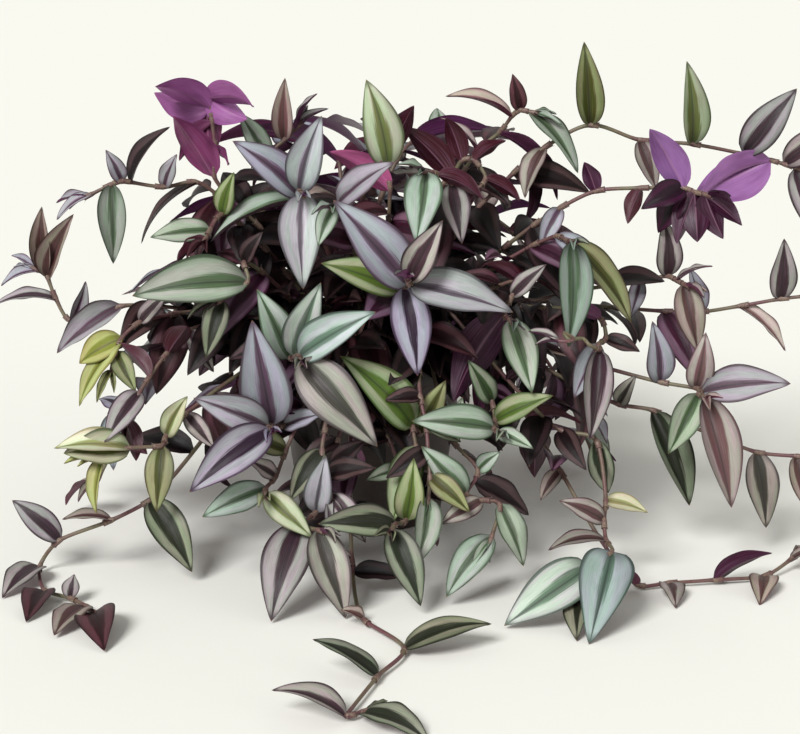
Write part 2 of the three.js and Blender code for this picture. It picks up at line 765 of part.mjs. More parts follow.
// Leaves on the bare lower reach of each stem, from its first node back to the soil, drawn by rule
function innerLeaf(base) {
  const reach = Math.hypot(base.x, base.y);
  const ahead = vec(base.x / reach, base.y / reach - 0.5, 0).normalize();
  const across = vec(-ahead.y, ahead.x, 0);
  const way = ahead.multiplyScalar(between(0.2, 1)).addScaledVector(across, between(-1, 1));
  const hang = Math.min(1, Math.max(0, (reach - 45) / 30));
  way.z = between(-0.5 - 0.7 * hang, 0.6 - 0.4 * hang);
  const length = between(INNER.shortest, INNER.longest);
  const tip = base.clone().addScaledVector(way.normalize(), length);
  const face = vec(0, -0.5, 0.8).addScaledVector(ahead, 0.4);
  return { base, tip, face, roll: between(-25, 25), width: between(1, 1.15) };
}
let inner = 0;
const deepest = Math.max(...shoots.map(({ bare }) => bare.length));
for (let back = 1; back <= deepest; back += 1) {
  shoots.forEach(({ bare }, owner) => {
    const base = bare[bare.length - back];
    if (!base || base.z < POT.height + INNER.aboveRim || inner >= INNER.leaves) return;
    if (placeLeaf(innerLeaf(base), owner)) inner += 1;
  });
}

// Solids, joined and cut exactly
function solidOf({ points, faces }) {
  const positions = new Float32Array(points.flatMap((point) => [point.x, point.y, point.z]));
  const mesh = new wasm.Mesh({
    numProp: 3,
    vertProperties: positions,
    triVerts: new Uint32Array(faces.flat()),
  });
  return new wasm.Manifold(mesh);
}
function geometryOf(solid) {
  const { vertProperties, triVerts } = solid.getMesh();
  const geometry = new THREE.BufferGeometry();
  geometry.setAttribute("position", new THREE.BufferAttribute(new Float32Array(vertProperties), 3));
  geometry.setIndex(new THREE.BufferAttribute(new Uint32Array(triVerts), 1));
  geometry.computeVertexNormals();
  return geometry;
}

// A solid turned round the Z axis from its outline of [radius, height] corners, with a closed middle
function turned(outline, sides) {
  const faces = [];
  const points = [vec(0, 0, outline[0][1])];
  outline.forEach(([radius, height]) => {
    for (let side = 0; side < sides; side += 1) {
      const angle = (side / sides) * Math.PI * 2;
      points.push(vec(radius * Math.cos(angle), radius * Math.sin(angle), height));
    }
  });
  const corner = (ring, side) => 1 + ring * sides + (side % sides);
  for (let side = 0; side < sides; side += 1) {
    faces.push([0, corner(0, side + 1), corner(0, side)]);
    for (let ring = 0; ring < outline.length - 1; ring += 1) {
      const [a, b] = [corner(ring, side), corner(ring, side + 1)];
      const [c, d] = [corner(ring + 1, side), corner(ring + 1, side + 1)];
      faces.push([a, b, d], [a, d, c]);
    }
    faces.push([corner(outline.length - 1, side), corner(outline.length - 1, side + 1), points.length]);
  }
  points.push(vec(0, 0, outline[outline.length - 1][1]));
  return { points, faces };
}
function rod(x, y, radius, bottom, top, sides) {
  const shape = turned([[radius, bottom], [radius, top]], sides);
  shape.points.forEach((point) => point.add(vec(x, y, 0)));
  return solidOf(shape);
}

const shoulder = POT.height - POT.rimDepth;
const bodyTop = POT.rimRadius - POT.rimStep;
let pot = solidOf(
  turned(
    [
      [POT.footRadius, 0],
      [bodyTop, shoulder],
      [POT.rimRadius, shoulder + 1],
      [POT.rimRadius, POT.height],
      [bodyTop - POT.wall + 1.5, POT.height],
      [bodyTop - POT.wall, POT.height - 3],
      [POT.footRadius - POT.wall, POT.floor],
    ],
    POT.sides,
  ),
);
for (let index = 0; index < POT.drains; index += 1) {
  const angle = (index / POT.drains) * Math.PI * 2;
  const x = POT.drainCircle * Math.cos(angle);
  const y = POT.drainCircle * Math.sin(angle);
  pot = pot.subtract(rod(x, y, POT.drainRadius, -1, POT.floor + 1, 12));
}

const slope = (bodyTop - POT.footRadius) / (POT.height - 3 - POT.floor);
const soilFoot = POT.footRadius - POT.wall - SOIL.clearance;
let soil = solidOf(
  turned(
    [
      [soilFoot, POT.floor + SOIL.clearance],
      [soilFoot + slope * (SOIL.top - SOIL.dome - POT.floor), SOIL.top - SOIL.dome],
      [46, SOIL.top - 1.5],
    ],
    24,
  ),
);
shoots.forEach(({ hole }) => {
  const bottom = SOIL.top - SOIL.rootDepth - SOIL.clearance;
  soil = soil.subtract(rod(hole.x, hole.y, SOIL.holeRadius, bottom, SOIL.top + 8, 4));
});

const finish = {
  pot: { color: 0x3d302b, roughness: 0.7 },
  soil: { color: 0x2e241c, roughness: 1 },
  silver: { color: 0xa3aea6, roughness: 0.5 },
  purple: { color: 0x6b3f63, roughness: 0.5 },
  green: { color: 0x6c8a45, roughness: 0.5 },
  dark: { color: 0x4b3d47, roughness: 0.5 },
};
const PURPLE = ["purple_left", "purple_reach", "top_dark", "trail_left", "left_dark"];
const GREEN = ["top_green", "centre_green", "right_green", "left_low", "left_yellow"];

const group = new THREE.Group();
function addPart(name, solid, { color, roughness }) {
  const material = new THREE.MeshStandardMaterial({ color, roughness, metalness: 0 });
  const mesh = new THREE.Mesh(geometryOf(solid), material);
  mesh.name = name;
  group.add(mesh);
}
addPart("pot", pot, finish.pot);
addPart("soil", soil, finish.soil);
shoots.forEach((shoot, owner) => {
  const own = placedLeaves.filter((leaf) => leaf.owner === owner);
  const solid = own.reduce((whole, leaf) => whole.add(solidOf(leaf.shape)), solidOf(shoot.shape));
  const isDark = owner % 3 === 1;
  let look = isDark ? finish.dark : finish.silver;
  if (PURPLE.includes(shoot.name)) look = finish.purple;
  if (GREEN.includes(shoot.name)) look = finish.green;
  addPart(`stem_${shoot.name}`, solid, look);
});

export default group;
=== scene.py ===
import heapq
import math
from types import SimpleNamespace

import bmesh
import bpy
import numpy as np
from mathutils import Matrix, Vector, noise


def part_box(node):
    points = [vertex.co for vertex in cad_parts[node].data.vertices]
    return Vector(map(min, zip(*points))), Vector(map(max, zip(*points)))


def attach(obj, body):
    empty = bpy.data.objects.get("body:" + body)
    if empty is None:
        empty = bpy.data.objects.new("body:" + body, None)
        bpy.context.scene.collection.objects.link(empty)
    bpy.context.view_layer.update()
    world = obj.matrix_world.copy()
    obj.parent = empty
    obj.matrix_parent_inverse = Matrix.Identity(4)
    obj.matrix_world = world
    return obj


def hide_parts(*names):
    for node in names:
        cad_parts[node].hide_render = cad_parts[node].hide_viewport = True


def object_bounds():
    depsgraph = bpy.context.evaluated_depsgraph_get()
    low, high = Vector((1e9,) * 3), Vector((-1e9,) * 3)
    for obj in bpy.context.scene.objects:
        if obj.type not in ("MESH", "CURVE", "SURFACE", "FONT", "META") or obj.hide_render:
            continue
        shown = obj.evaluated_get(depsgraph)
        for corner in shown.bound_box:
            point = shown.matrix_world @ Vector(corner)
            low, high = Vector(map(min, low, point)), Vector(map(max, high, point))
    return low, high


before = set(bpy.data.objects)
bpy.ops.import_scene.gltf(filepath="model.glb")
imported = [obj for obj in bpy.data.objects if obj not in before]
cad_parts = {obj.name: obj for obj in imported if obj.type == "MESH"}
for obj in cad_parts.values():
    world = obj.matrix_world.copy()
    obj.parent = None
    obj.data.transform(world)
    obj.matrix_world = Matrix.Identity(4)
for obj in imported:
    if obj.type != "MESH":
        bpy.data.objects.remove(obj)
cad_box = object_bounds()

# The faceted plant's own proportions, by which its leaves are found again. Rings of four corners
# cross a leaf, three if it is long and two if it is short, each given as shares of the length and of
# the half width. LONG_OR_SHORT parts their thicknesses, and LEAF_FLATNESS parts leaf and stem.
FIRST_RING = (0.12, 0.56)
MIDDLE_RING = (0.42, 1.0)
SHORT_RING = (0.15, 0.66)
FIRST_THICKNESS = 0.002
LONG_OR_SHORT = 0.00175
LEAF_FLATNESS = 2.2
ARCH = 0.09
FOLD = 0.2
STEM_ROOT_RADIUS = 0.0019
STEM_TIP_RADIUS = 0.00135

# How near things are: doubles, a corner to its worked-out place, a leaf's node to its base, the
# corners of a stem's ring, and a stem's foot to the pot's middle
DOUBLE = 2e-6
MATCH = 2e-4
AT_NODE = 0.0032
SAME_RING = 0.0042
FOOT_REACH = 0.05

# How leaves and stems are drawn: rows along a leaf and columns across it, then a stem's sides, steps
# and fullness, and the pull of its curve
FINE = (22, 12)
SMALL = (13, 8)
STEM_SIDES = 10
STEM_STEP = 0.0035
STEM_FULLNESS = 0.8
CURVE_PULL = 0.9

# A blade: its thickness, its midrib, the channel over the midrib and the stalk
BLADE_THICKNESS = 0.00045
MIDRIB_THICKNESS = 0.0008
MIDRIB_REACH = 0.0013
CHANNEL_DEPTH = 0.0004
CHANNEL_REACH = 0.0011
STALK_REACH = 0.0016

# How far leaves and their tones differ, in the order in which the values are drawn
TURN = 6.28
LEAF_RANGES = {
    "droop": (-0.02, 0.07),
    "sickle": (-0.025, 0.025),
    "curl": (0.0, 0.2),
    "wave": (0.0002, 0.0009),
    "cycles": (1.2, 2.6),
    "phase": (0, TURN),
    "twist": (-0.2, 0.2),
    "fold": (1.3, 2.4),
}
TONE_RANGES = {"light": (0.84, 1.16), "warm": (-0.05, 0.05), "band": (0.8, 1.25)}

# The young leaves at a stem's end, by their lengths and leans
YOUNG = ((0.021, 0.3), (0.014, -0.35))
YOUNG_BACK = 0.006
YOUNG_HALF = 0.17
YOUNG_FURL = 0.5
YOUNG_FLOOR = 0.003

# A stem's nodes: their swelling, the sheath over each, by places along the stem and shares of its
# radius, and the hairs round the sheath's mouth. Then the taper of the stem's end.
SWELLING = 0.25
SWELLING_REACH = 0.003
SHEATH_STEPS = (-0.0012, 0.0006, 0.0028, 0.0046, 0.0056, 0.0055, 0.0048)
SHEATH_WIDTHS = (0.98, 1.2, 1.22, 1.28, 1.34, 1.16, 0.4)
MOUTH = 4
HAIRS = 7
HAIR_LENGTHS = (0.0012, 0.0024)
HAIR_THICKNESS = 0.00007
HAIR_FACES = ((0, 1, 2), (0, 3, 1), (1, 3, 2), (2, 3, 0))
STEM_TAPER = 0.009

# How fast a stem's mottling changes along it, and the slots of a leafy piece's materials
PATCH_SCALE = 20
TOP, UNDER, STEM, SHEATH, HAIR = range(5)

# Small leaves between the large ones, inside the plant on stems that the photograph shows, and along
# the whole of the others. Reach is how far from the pot's middle they may stand, which is less up where
# they would show against the background. Ranges out from the pot, aside and up, some of them below
# nothing, say where they point and face.
FILL = SimpleNamespace(
    step=0.0125,
    from_node=0.6,
    over_rim=0.004,
    past_rim=0.006,
    high=0.17,
    high_reach=0.112,
    low_reach=0.15,
    hidden_reach=0.19,
    past_reach=0.024,
    shortest=0.026,
    longest=0.046,
    half_width=0.25,
    point_out=(-0.4, 0.9),
    point_aside=(-1, 1),
    point_up=(-0.9, 0.25),
    face_up=0.9,
    face_out=(0.1, 0.8),
    face_aside=(-0.5, 0.5),
    neighbours=1.5,
    room=0.004,
    view_room=0.005,
    tries=44,
)

# How far small leaves keep from the pot's wall, the floor and the rim
WALL_ROOM = 0.003
FLOOR_ROOM = 0.004
RIM_ROOM = 0.002

# The pot, as high and as wide as in the solids
RIM_RADIUS, _, POT_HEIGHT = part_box("pot")[1]
SHOULDER = POT_HEIGHT - 0.014
BODY_RADIUS = RIM_RADIUS - 0.003
LIP = 0.0013
LIP_STEPS = 6
FOOT_RADIUS = 0.046
FOOT_BEVEL = 0.0014
WALL_SLOPE = (BODY_RADIUS - FOOT_RADIUS) / SHOULDER
WALL = 0.0022
POT_FLOOR = 0.003
POT_SIDES = 120
RING_HALF = 0.0012
RING_OUT = 0.0005
LOW_RING = 0.016
RING_UNDER_RIM = 0.012
DRAINS = 5
DRAIN_CIRCLE = 0.027
DRAIN_RADIUS = 0.005
DRAIN_PAST = 0.002
DRAIN_SIDES = 24

# The soil: its edge under its highest point, its raised middle, its waves by scale and height, and
# its crumbs
EDGE_DROP = 0.0045
CROWN = 0.0035
SOIL_RINGS = 34
SOIL_SIDES = 110
SOIL_WAVES = ((160, 0.0012), (700, 0.0006))
CRUMBS = 420
CRUMB_SIZES = (0.0006, 0.0019)
CRUMB_STRETCH = (0.55, 1.3)
CRUMB_DENTS = 0.35

# The photograph's camera
ELEVATION = math.radians(15)
AIM = Vector((0.0195, 0.0, 0.0975))
DISTANCE = 1.3
AHEAD = Vector((0, math.cos(ELEVATION), -math.sin(ELEVATION)))
UPWARD = Vector((0, math.sin(ELEVATION), math.cos(ELEVATION)))
EYE = AIM - AHEAD * DISTANCE

rng = np.random.default_rng(5)


def srgb(red, green, blue):
    """A linear colour from the usual 0 to 255 values."""
    return tuple((value / 255) ** 2.2 for value in (red, green, blue)) + (1.0,)


# Leaf tones: centre band, silver stripe, margin, underside, and half the width of the centre band
TONES = {
    "mauve": ((90, 66, 84), (167, 167, 177), (84, 68, 80), (104, 48, 94), 0.18),
    "silver": ((96, 86, 100), (173, 177, 183), (86, 85, 91), (110, 60, 102), 0.14),
    "purple": ((38, 19, 40), (160, 157, 174), (60, 43, 64), (100, 40, 92), 0.28),
    "frost": ((96, 116, 102), (184, 194, 191), (84, 98, 90), (96, 70, 82), 0.2),
    "mint": ((80, 98, 73), (166, 176, 165), (72, 86, 68), (96, 70, 82), 0.22),
    "fern": ((56, 76, 44), (148, 158, 139), (62, 76, 55), (96, 72, 74), 0.26),
    "slate": ((62, 60, 53), (164, 159, 151), (76, 68, 68), (92, 46, 74), 0.3),
    "green": ((86, 107, 44), (162, 171, 136), (76, 91, 49), (96, 84, 66), 0.32),
    "sage": ((108, 114, 66), (188, 192, 164), (98, 104, 74), (96, 82, 76), 0.26),
    "forest": ((38, 42, 30), (138, 142, 122), (50, 52, 40), (84, 46, 66), 0.36),
    "dusk": ((60, 42, 50), (166, 160, 160), (62, 48, 54), (92, 42, 76), 0.32),
    "umber": ((82, 57, 57), (158, 148, 140), (78, 58, 56), (100, 52, 72), 0.32),
    "rose": ((118, 84, 86), (188, 174, 168), (104, 82, 82), (110, 56, 78), 0.26),
    "olive": ((72, 74, 34), (146, 148, 108), (72, 68, 42), (92, 70, 60), 0.3),
    "yellow": ((120, 125, 54), (172, 173, 118), (114, 110, 60), (118, 108, 64), 0.3),
    "cream": ((138, 138, 90), (202, 200, 176), (138, 134, 98), (128, 112, 84), 0.24),
    "dark": ((28, 12, 16), (80, 60, 62), (32, 16, 20), (60, 20, 34), 0.4),
    # An almost black tone: painted shade for leaves deep inside the plant
    "gloom": ((18, 8, 10), (50, 35, 37), (22, 11, 13), (42, 14, 22), 0.42),
    "wine": ((44, 14, 22), (88, 54, 62), (44, 17, 25), (64, 18, 28), 0.38),
    # claret is the leaves' own deep purple, darkened further as painted shade for leaves in the plant's
    # shaded mass
    "claret": ((32, 4, 24), (58, 16, 44), (36, 6, 27), (54, 4, 38), 0.36),
    "plum": ((54, 18, 38), (118, 88, 108), (54, 22, 42), (116, 50, 88), 0.34),
    "violet": ((96, 42, 104), (158, 128, 170), (90, 46, 92), (139, 94, 151), 0.3),
    "orchid": ((100, 42, 92), (164, 124, 160), (92, 44, 84), (150, 86, 142), 0.3),
    "pink": ((110, 40, 80), (180, 140, 164), (96, 40, 72), (172, 84, 132), 0.3),
}

# The tones of the leaves that the photograph shows, from a shoot's first such leaf to its tip. The
# mark FOLDED after a tone stands for a leaf whose halves are folded together.
FOLDED = "<"
FOLDED_MORE = 0.6
SHOWN = {
    "crown_left": "mint mauve silver silver",
    "crown_back": "mint rose< dusk",
    "purple_left": "plum plum plum orchid orchid",
    "left_high": "dark mauve dark mauve mint< mauve",
    "left_reach": "mauve< mauve dusk umber< umber< mauve",
    "left_shoulder": "green mint wine",
    "left_arch": "dark mint forest",
    "left_yellow": "dusk yellow olive",
    "left_dark": "dusk wine wine dusk wine",
    "left_low": "dusk sage olive cream yellow",
    "crown_middle": "green purple mauve silver dusk",
    "crown_inner": "wine mauve mint",
    "top_green": "pink sage wine",
    "over_middle": "dusk wine mint",
    "top_dark": "wine wine wine wine wine dark",
    "top_middle": "rose dusk rose wine mint",
    "top_reach": "umber olive< umber sage< dusk violet dusk dusk",
    "purple_reach": "mauve claret wine violet claret claret",
    "right_shoulder": "mauve olive mint<",
    "right_back": "mauve dusk dusk umber",
    "right_far": "mauve rose dusk dusk",
    "right_cluster": "mauve rose mauve fern rose<",
    "right_stem": "slate forest< slate umber dusk",
    "right_mid": "wine dusk dark mauve dusk<",
    "right_lean": "wine dusk claret mint",
    "right_green": "fern green mint mint",
    "centre_green": "olive green green",
    "centre_left": "mint frost frost slate",
    "low_left": "mauve mauve mauve purple",
    "skirt_left": "olive dusk mint sage",
    "skirt_front": "dark dark silver dusk slate",
    "skirt_middle": "dark mint green forest forest",
    "skirt_right": "mint mint mint umber mint mint",
    "right_low": "dark forest cream umber umber frost frost forest",
    "skirt_pot_left": "dark dark forest dark dusk",
    "skirt_pot_right": "dark forest dark olive mint",
    "trail_right": "umber umber umber claret umber umber",
    "trail_left": "forest umber dusk dusk wine dusk umber wine",
    "trail_front": "umber umber forest forest dusk forest",
}

# The tones of the other leaves: on hidden stems, and inside the plant on the stems that show. The leaves
# inside get dark tones as painted shade, for the shade deep in the plant.
USUAL = ("mauve", "silver", "mint", "dusk", "purple", "umber")
INSIDE_SHADE_TONES = ("gloom", "gloom", "gloom", "dark", "wine", "plum")

# Stems whose ends show no young leaves
BARE_ENDS = ("stem_purple_left",)


# Reading the faceted plant


def welded(node):
    """The node's vertices and their neighbours, with doubles joined."""
    mesh = bmesh.new()
    mesh.from_mesh(node.data)
    bmesh.ops.remove_doubles(mesh, verts=mesh.verts, dist=DOUBLE)
    mesh.verts.ensure_lookup_table()
    places = [vertex.co.copy() for vertex in mesh.verts]
    near = [[edge.other_vert(vertex).index for edge in vertex.link_edges] for vertex in mesh.verts]
    mesh.free()
    return places, near


def arch_at(share, length):
    """How high a midrib arches over the line from base to tip, at a share of its length."""
    return ARCH * length * 4 * share * (1 - share)


def leaf_facts(base, along, normal, length, half):
    """Where a leaf is, which ways it lies, and how long and half how wide it is."""
    left = normal.cross(along)
    return SimpleNamespace(base=base, along=along, normal=normal, left=left, length=length, half=half)


def leaf_from(tip, last, ring, places):
    """A leaf's measures from its tip and its last two rings, or None if this is a stem's end."""
    left, top, right, bottom = (places[index] for index in ring)
    width = (left - right).length
    thickness = (top - bottom).length
    if width < LEAF_FLATNESS * thickness:
        return None
    is_long = thickness < LONG_OR_SHORT
    share, breadth = MIDDLE_RING if is_long else SHORT_RING
    middle = (top + bottom) / 2
    normal = (top - bottom).normalized()
    if normal.dot((left + right) / 2 - middle) < 0:
        normal.negate()
    rise = ARCH * 4 * share * (1 - share)
    length = (places[tip] - middle).length / (1 - share)
    # Base and length depend on each other, and a few rounds bring both near
    for _ in range(6):
        base = (middle - places[tip] * share - normal * rise * length) / (1 - share)
        length = (places[tip] - base).length
    along = (places[tip] - base).normalized()
    leaf = leaf_facts(base, along, normal, length, width / 2 / breadth)
    leaf.corners = {tip, *last, *ring}
    if is_long:
        leaf.corners.update(first_ring(leaf, places))
    return leaf


def first_ring(leaf, places):
    """The corners of a long leaf's ring nearest the stem."""
    share, breadth = FIRST_RING
    reach = leaf.half * breadth
    rise = arch_at(share, leaf.length)
    middle = leaf.base + leaf.along * share * leaf.length + leaf.normal * rise
    lift = leaf.normal * reach * FOLD
    wanted = (
        middle + leaf.left * reach + lift,
        middle - leaf.left * reach + lift,
        middle + leaf.normal * FIRST_THICKNESS / 2,
        middle - leaf.normal * FIRST_THICKNESS / 2,
    )
    return [i for i, place in enumerate(places) if any((place - goal).length < MATCH for goal in wanted)]


def find_leaves(places, near):
    """Every leaf of a node: a tip touches four corners, and two of those touch four as well."""
    leaves = []
    for tip, around in enumerate(near):
        ribs = [index for index in around if len(near[index]) == 4]
        edges = [index for index in around if index not in ribs]
        if len(around) != 4 or len(ribs) != 2 or ribs[1] in near[ribs[0]]:
            continue
        before = [[i for i in near[rib] if i != tip and i not in edges] for rib in ribs]
        if any(len(found) != 1 for found in before):
            continue
        top, bottom = before[0][0], before[1][0]
        sides = []
        for edge in edges:
            shared = [i for i in near[edge] if i in near[top] and i in near[bottom]]
            sides.append([i for i in shared if i not in ribs and i not in edges])
        if any(len(found) != 1 for found in sides):
            continue
        last = (edges[0], ribs[0], edges[1], ribs[1])
        leaf = leaf_from(tip, last, (sides[0][0], top, sides[1][0], bottom), places)
        if leaf:
            leaves.append(leaf)
    return leaves


def walk_from(foot, near, allowed, places):
    """How far each stem corner is from the foot, along the stem."""
    reach = {foot: 0.0}
    queue = [(0.0, foot)]
    while queue:
        gone, here = heapq.heappop(queue)
        if gone > reach[here]:
            continue
        for other in near[here]:
            if other not in allowed:
                continue
            far = gone + (places[other] - places[here]).length
            if far < reach.get(other, math.inf):
                reach[other] = far
                heapq.heappush(queue, (far, other))
    return reach


def find_line(places, near, leaves):
    """The stem's ring centres from the soil to the bud, each with True where it bears a leaf.

    Puts the leaves in order along the stem too."""
    used = set().union(*(leaf.corners for leaf in leaves))
    stem = [index for index in range(len(places)) if index not in used]
    foot = min(stem, key=lambda i: (math.hypot(*places[i].xy) > FOOT_REACH, places[i].z))
    reach = walk_from(foot, near, set(stem), places)
    bud = max(reach, key=reach.get)
    rings = []
    loose = []
    groups = [[] for _ in leaves]
    for leaf in leaves:
        leaf.reach = reach[min(reach, key=lambda i: (places[i] - leaf.base).length)]
    for index in reach:
        apart = [(places[index] - leaf.base).length for leaf in leaves]
        nearest = int(np.argmin(apart))
        if apart[nearest] < AT_NODE:
            groups[nearest].append(index)
        elif index not in (bud, foot):
            loose.append(index)
    for leaf, group in zip(leaves, groups):
        if group:
            leaf.reach = float(np.mean([reach[i] for i in group]))
            rings.append((leaf.reach, leaf.base, True))
    while loose:
        group = [loose.pop()]
        for member in group:
            close = [i for i in loose if (places[i] - places[member]).length < SAME_RING]
            group.extend(close)
            loose = [i for i in loose if i not in close]
        centre = sum((places[i] for i in group), Vector()) / len(group)
        if all((centre - leaf.base).length > 2 * AT_NODE for leaf in leaves):
            rings.append((float(np.mean([reach[i] for i in group])), centre, False))
    rings.sort(key=lambda ring: ring[0])
    leaves.sort(key=lambda leaf: leaf.reach)
    return [(centre, bears) for _, centre, bears in rings] + [(places[bud], False)]


def smooth_line(line):
    """Points every few millimetres along a curve through the ring centres, with their leaf nodes."""
    centres = [centre for centre, _ in line]
    ahead = [centres[0] * 2 - centres[1], *centres, centres[-1] * 2 - centres[-2]]
    points = []
    nodes = []
    for index, (centre, bears) in enumerate(line):
        if bears:
            nodes.append(len(points))
        if index == len(line) - 1:
            points.append(centre)
            break
        before, here, there, after = ahead[index : index + 4]
        span = (there - here).length
        start = (there - before).normalized() * (min(span, (here - before).length) * CURVE_PULL)
        end = (after - here).normalized() * (min(span, (after - there).length) * CURVE_PULL)
        steps = max(2, round(span / STEM_STEP))
        for step in range(steps):
            t = step / steps
            cubic = here * (2 * t**3 - 3 * t**2 + 1) + there * (3 * t**2 - 2 * t**3)
            points.append(cubic + start * (t**3 - 2 * t**2 + t) + end * (t**3 - t**2))
    return points, nodes


# Leaves that only the fine plant has, at nodes that already bear a leaf: that leaf counted back from
# the tip, the new one's reach right, up and nearer in millimetres, its half width as a share of its
# length, its tone, and whether the camera sees its underside
# The claret leaves fill a mass of leaves that lies in shade, and their dark tone is partly painted shade
EXTRA = {
    "purple_left": (
        (-1, (26, -14, 5), 0.34, "orchid", True),
        (-2, (-34, 8, 7), 0.32, "orchid", True),
        (-1, (2, -41, -3), 0.24, "plum", True),
        (-2, (-10, -34, -6), 0.24, "claret", True),
    ),
    "purple_reach": (
        (-3, (-27, -13, 7), 0.3, "claret", False),
        (-3, (-15, -27, -6), 0.3, "claret", False),
        (-2, (1, -31, 6), 0.32, "claret", True),
        (-1, (12, -27, -5), 0.32, "claret", True),
    ),
    "top_reach": ((-3, (-48, -22, 7), 0.31, "violet", True),),
    "left_yellow": ((-2, (-27, -15, -4), 0.32, "yellow", False),),
    "left_low": ((-2, (-38, -3, 6), 0.33, "sage", False),),
}
EXTRA_FACE = UPWARD * 0.4 - AHEAD


def extra_leaf(base, reach, half_share, is_turned):
    """A leaf that looks at the camera or away from it, from its base and its tip's reach."""
    right, up, nearer = (value / 1000 for value in reach)
    tip = base + Vector((right, 0, 0)) + UPWARD * up - AHEAD * nearer
    return make_leaf(base, tip, -EXTRA_FACE if is_turned else EXTRA_FACE, half_share)


def read_shoot(name, node):
    """A stem of the faceted plant: its line and its leaves, in order from the soil, with their tones."""
    places, near = welded(node)
    leaves = find_leaves(places, near)
    points, nodes = smooth_line(find_line(places, near, leaves))
    title = name.removeprefix("stem_")
    shown = SHOWN.get(title, "").split()
    others = leaves[: len(leaves) - len(shown)]
    # Leaves inside shoots that show, and their small leaves, take the dark tones of painted shade
    other_tones = INSIDE_SHADE_TONES if shown else USUAL
    extra = [
        (extra_leaf(leaves[index].base, reach, half_share, is_turned), tone)
        for index, reach, half_share, tone, is_turned in EXTRA.get(title, ())
    ]
    return SimpleNamespace(
        name=name,
        points=points,
        nodes=nodes,
        leaves=leaves,
        tones=[rng.choice(other_tones) for _ in others] + shown,
        small_tones=other_tones,
        shown=leaves[len(others) :],
        extra=extra,
        small=[],
    )


# Smaller leaves inside the plant, kept clear of all that is there

# Places on a leaf by which leaves are kept apart, as shares of its length and of its half width
TOUCH_ALONG = np.array((0.25, 0.45, 0.65, 0.85, 1.0, 0.35, 0.35, 0.65, 0.65))
TOUCH_ACROSS = np.array((0, 0, 0, 0, 0, 0.8, -0.8, 0.7, -0.7))


def make_leaf(base, tip, face, half_share):
    """A leaf's measures from its base, its tip and the way that its upper side looks."""
    along = (tip - base).normalized()
    normal = (face - along * face.dot(along)).normalized()
    length = (tip - base).length
    return leaf_facts(base, along, normal, length, half_share * length)


def touch_points(leaf):
    """Places on a leaf's midrib and edges, for keeping leaves apart."""
    along = np.outer(TOUCH_ALONG * leaf.length, leaf.along)
    arch = np.outer(arch_at(TOUCH_ALONG, leaf.length), leaf.normal)
    across = np.outer(TOUCH_ACROSS * leaf.half, leaf.left)
    return np.array(leaf.base) + along + arch + across


def in_view(points):
    """Where the camera sees points, at the plant's scale, and how far off they are."""
    offset = points - np.array(EYE)
    far = offset @ np.array(AHEAD)
    return np.stack((offset[:, 0] / far, offset @ np.array(UPWARD) / far), axis=1) * DISTANCE, far


def gaps(points, others):
    """The distance from each point to each of the others."""
    return np.linalg.norm(points[:, None, :] - others[None, :, :], axis=2)


def pot_radius(height):
    """The pot's outer radius at a height, or at many."""
    return np.where(height > SHOULDER, RIM_RADIUS, FOOT_RADIUS + WALL_SLOPE * height)


def is_free(points):
    """Whether points keep clear of the pot, the soil and the floor."""
    out = np.hypot(points[:, 0], points[:, 1])
    outside = (out > pot_radius(points[:, 2]) + WALL_ROOM) & (points[:, 2] > FLOOR_ROOM)
    return bool(np.all(outside | (points[:, 2] > POT_HEIGHT + RIM_ROOM)))


def in_box(place):
    """Whether a place lies in the faceted plant's box."""
    return all(low < value < high for low, value, high in zip(cad_box[0], place, cad_box[1]))


def reach_at(shoot, place):
    """How far out a small leaf may stand at a place on a stem."""
    if not shoot.shown:
        return FILL.hidden_reach
    return FILL.high_reach if place.z > FILL.high else FILL.low_reach


def small_leaf(base, reach, taken, spots, spots_far):
    """The clearest of many tries at a small leaf that hides none of the shown leaves' spots."""
    out = Vector((base.x, base.y, 0)).normalized()
    across = Vector((-out.y, out.x, 0))
    beside = np.linalg.norm(taken - np.array(base), axis=1) < FILL.neighbours * FILL.longest
    taken = taken[beside]
    best = (FILL.room, None)
    for _ in range(FILL.tries):
        way = out * rng.uniform(*FILL.point_out) + across * rng.uniform(*FILL.point_aside)
        way.z = rng.uniform(*FILL.point_up)
        tip = base + way.normalized() * rng.uniform(FILL.shortest, FILL.longest)
        face = Vector((0, 0, FILL.face_up)) + out * rng.uniform(*FILL.face_out)
        face += across * rng.uniform(*FILL.face_aside)
        leaf = make_leaf(base, tip, face, FILL.half_width)
        points = touch_points(leaf)
        is_past = math.hypot(*tip.xy) > reach + FILL.past_reach
        if is_past or not in_box(tip) or not is_free(points):
            continue
        room = gaps(points, taken).min()
        if room < best[0]:
            continue
        seen, far = in_view(points)
        if not np.any((gaps(seen, spots) < FILL.view_room) & (far[:, None] < spots_far[None, :])):
            best = (room, leaf)
    return best[1]


def fill_places(shoot):
    """Where small leaves may stand: at even steps up to the last leaf node, away from each node."""
    points, nodes = shoot.points, shoot.nodes
    bearing = [points[node] for node in nodes]
    gone = 0.0
    for before, here in zip(points, points[1 : nodes[-1]]):
        gone += (here - before).length
        out = math.hypot(*here.xy)
        is_clear = here.z > POT_HEIGHT + FILL.over_rim or out > RIM_RADIUS + FILL.past_rim
        is_near = out < reach_at(shoot, here)
        if gone < FILL.step or not is_near or not is_clear:
            continue
        if all((here - place).length > FILL.step * FILL.from_node for place in bearing):
            gone = 0.0
            yield here


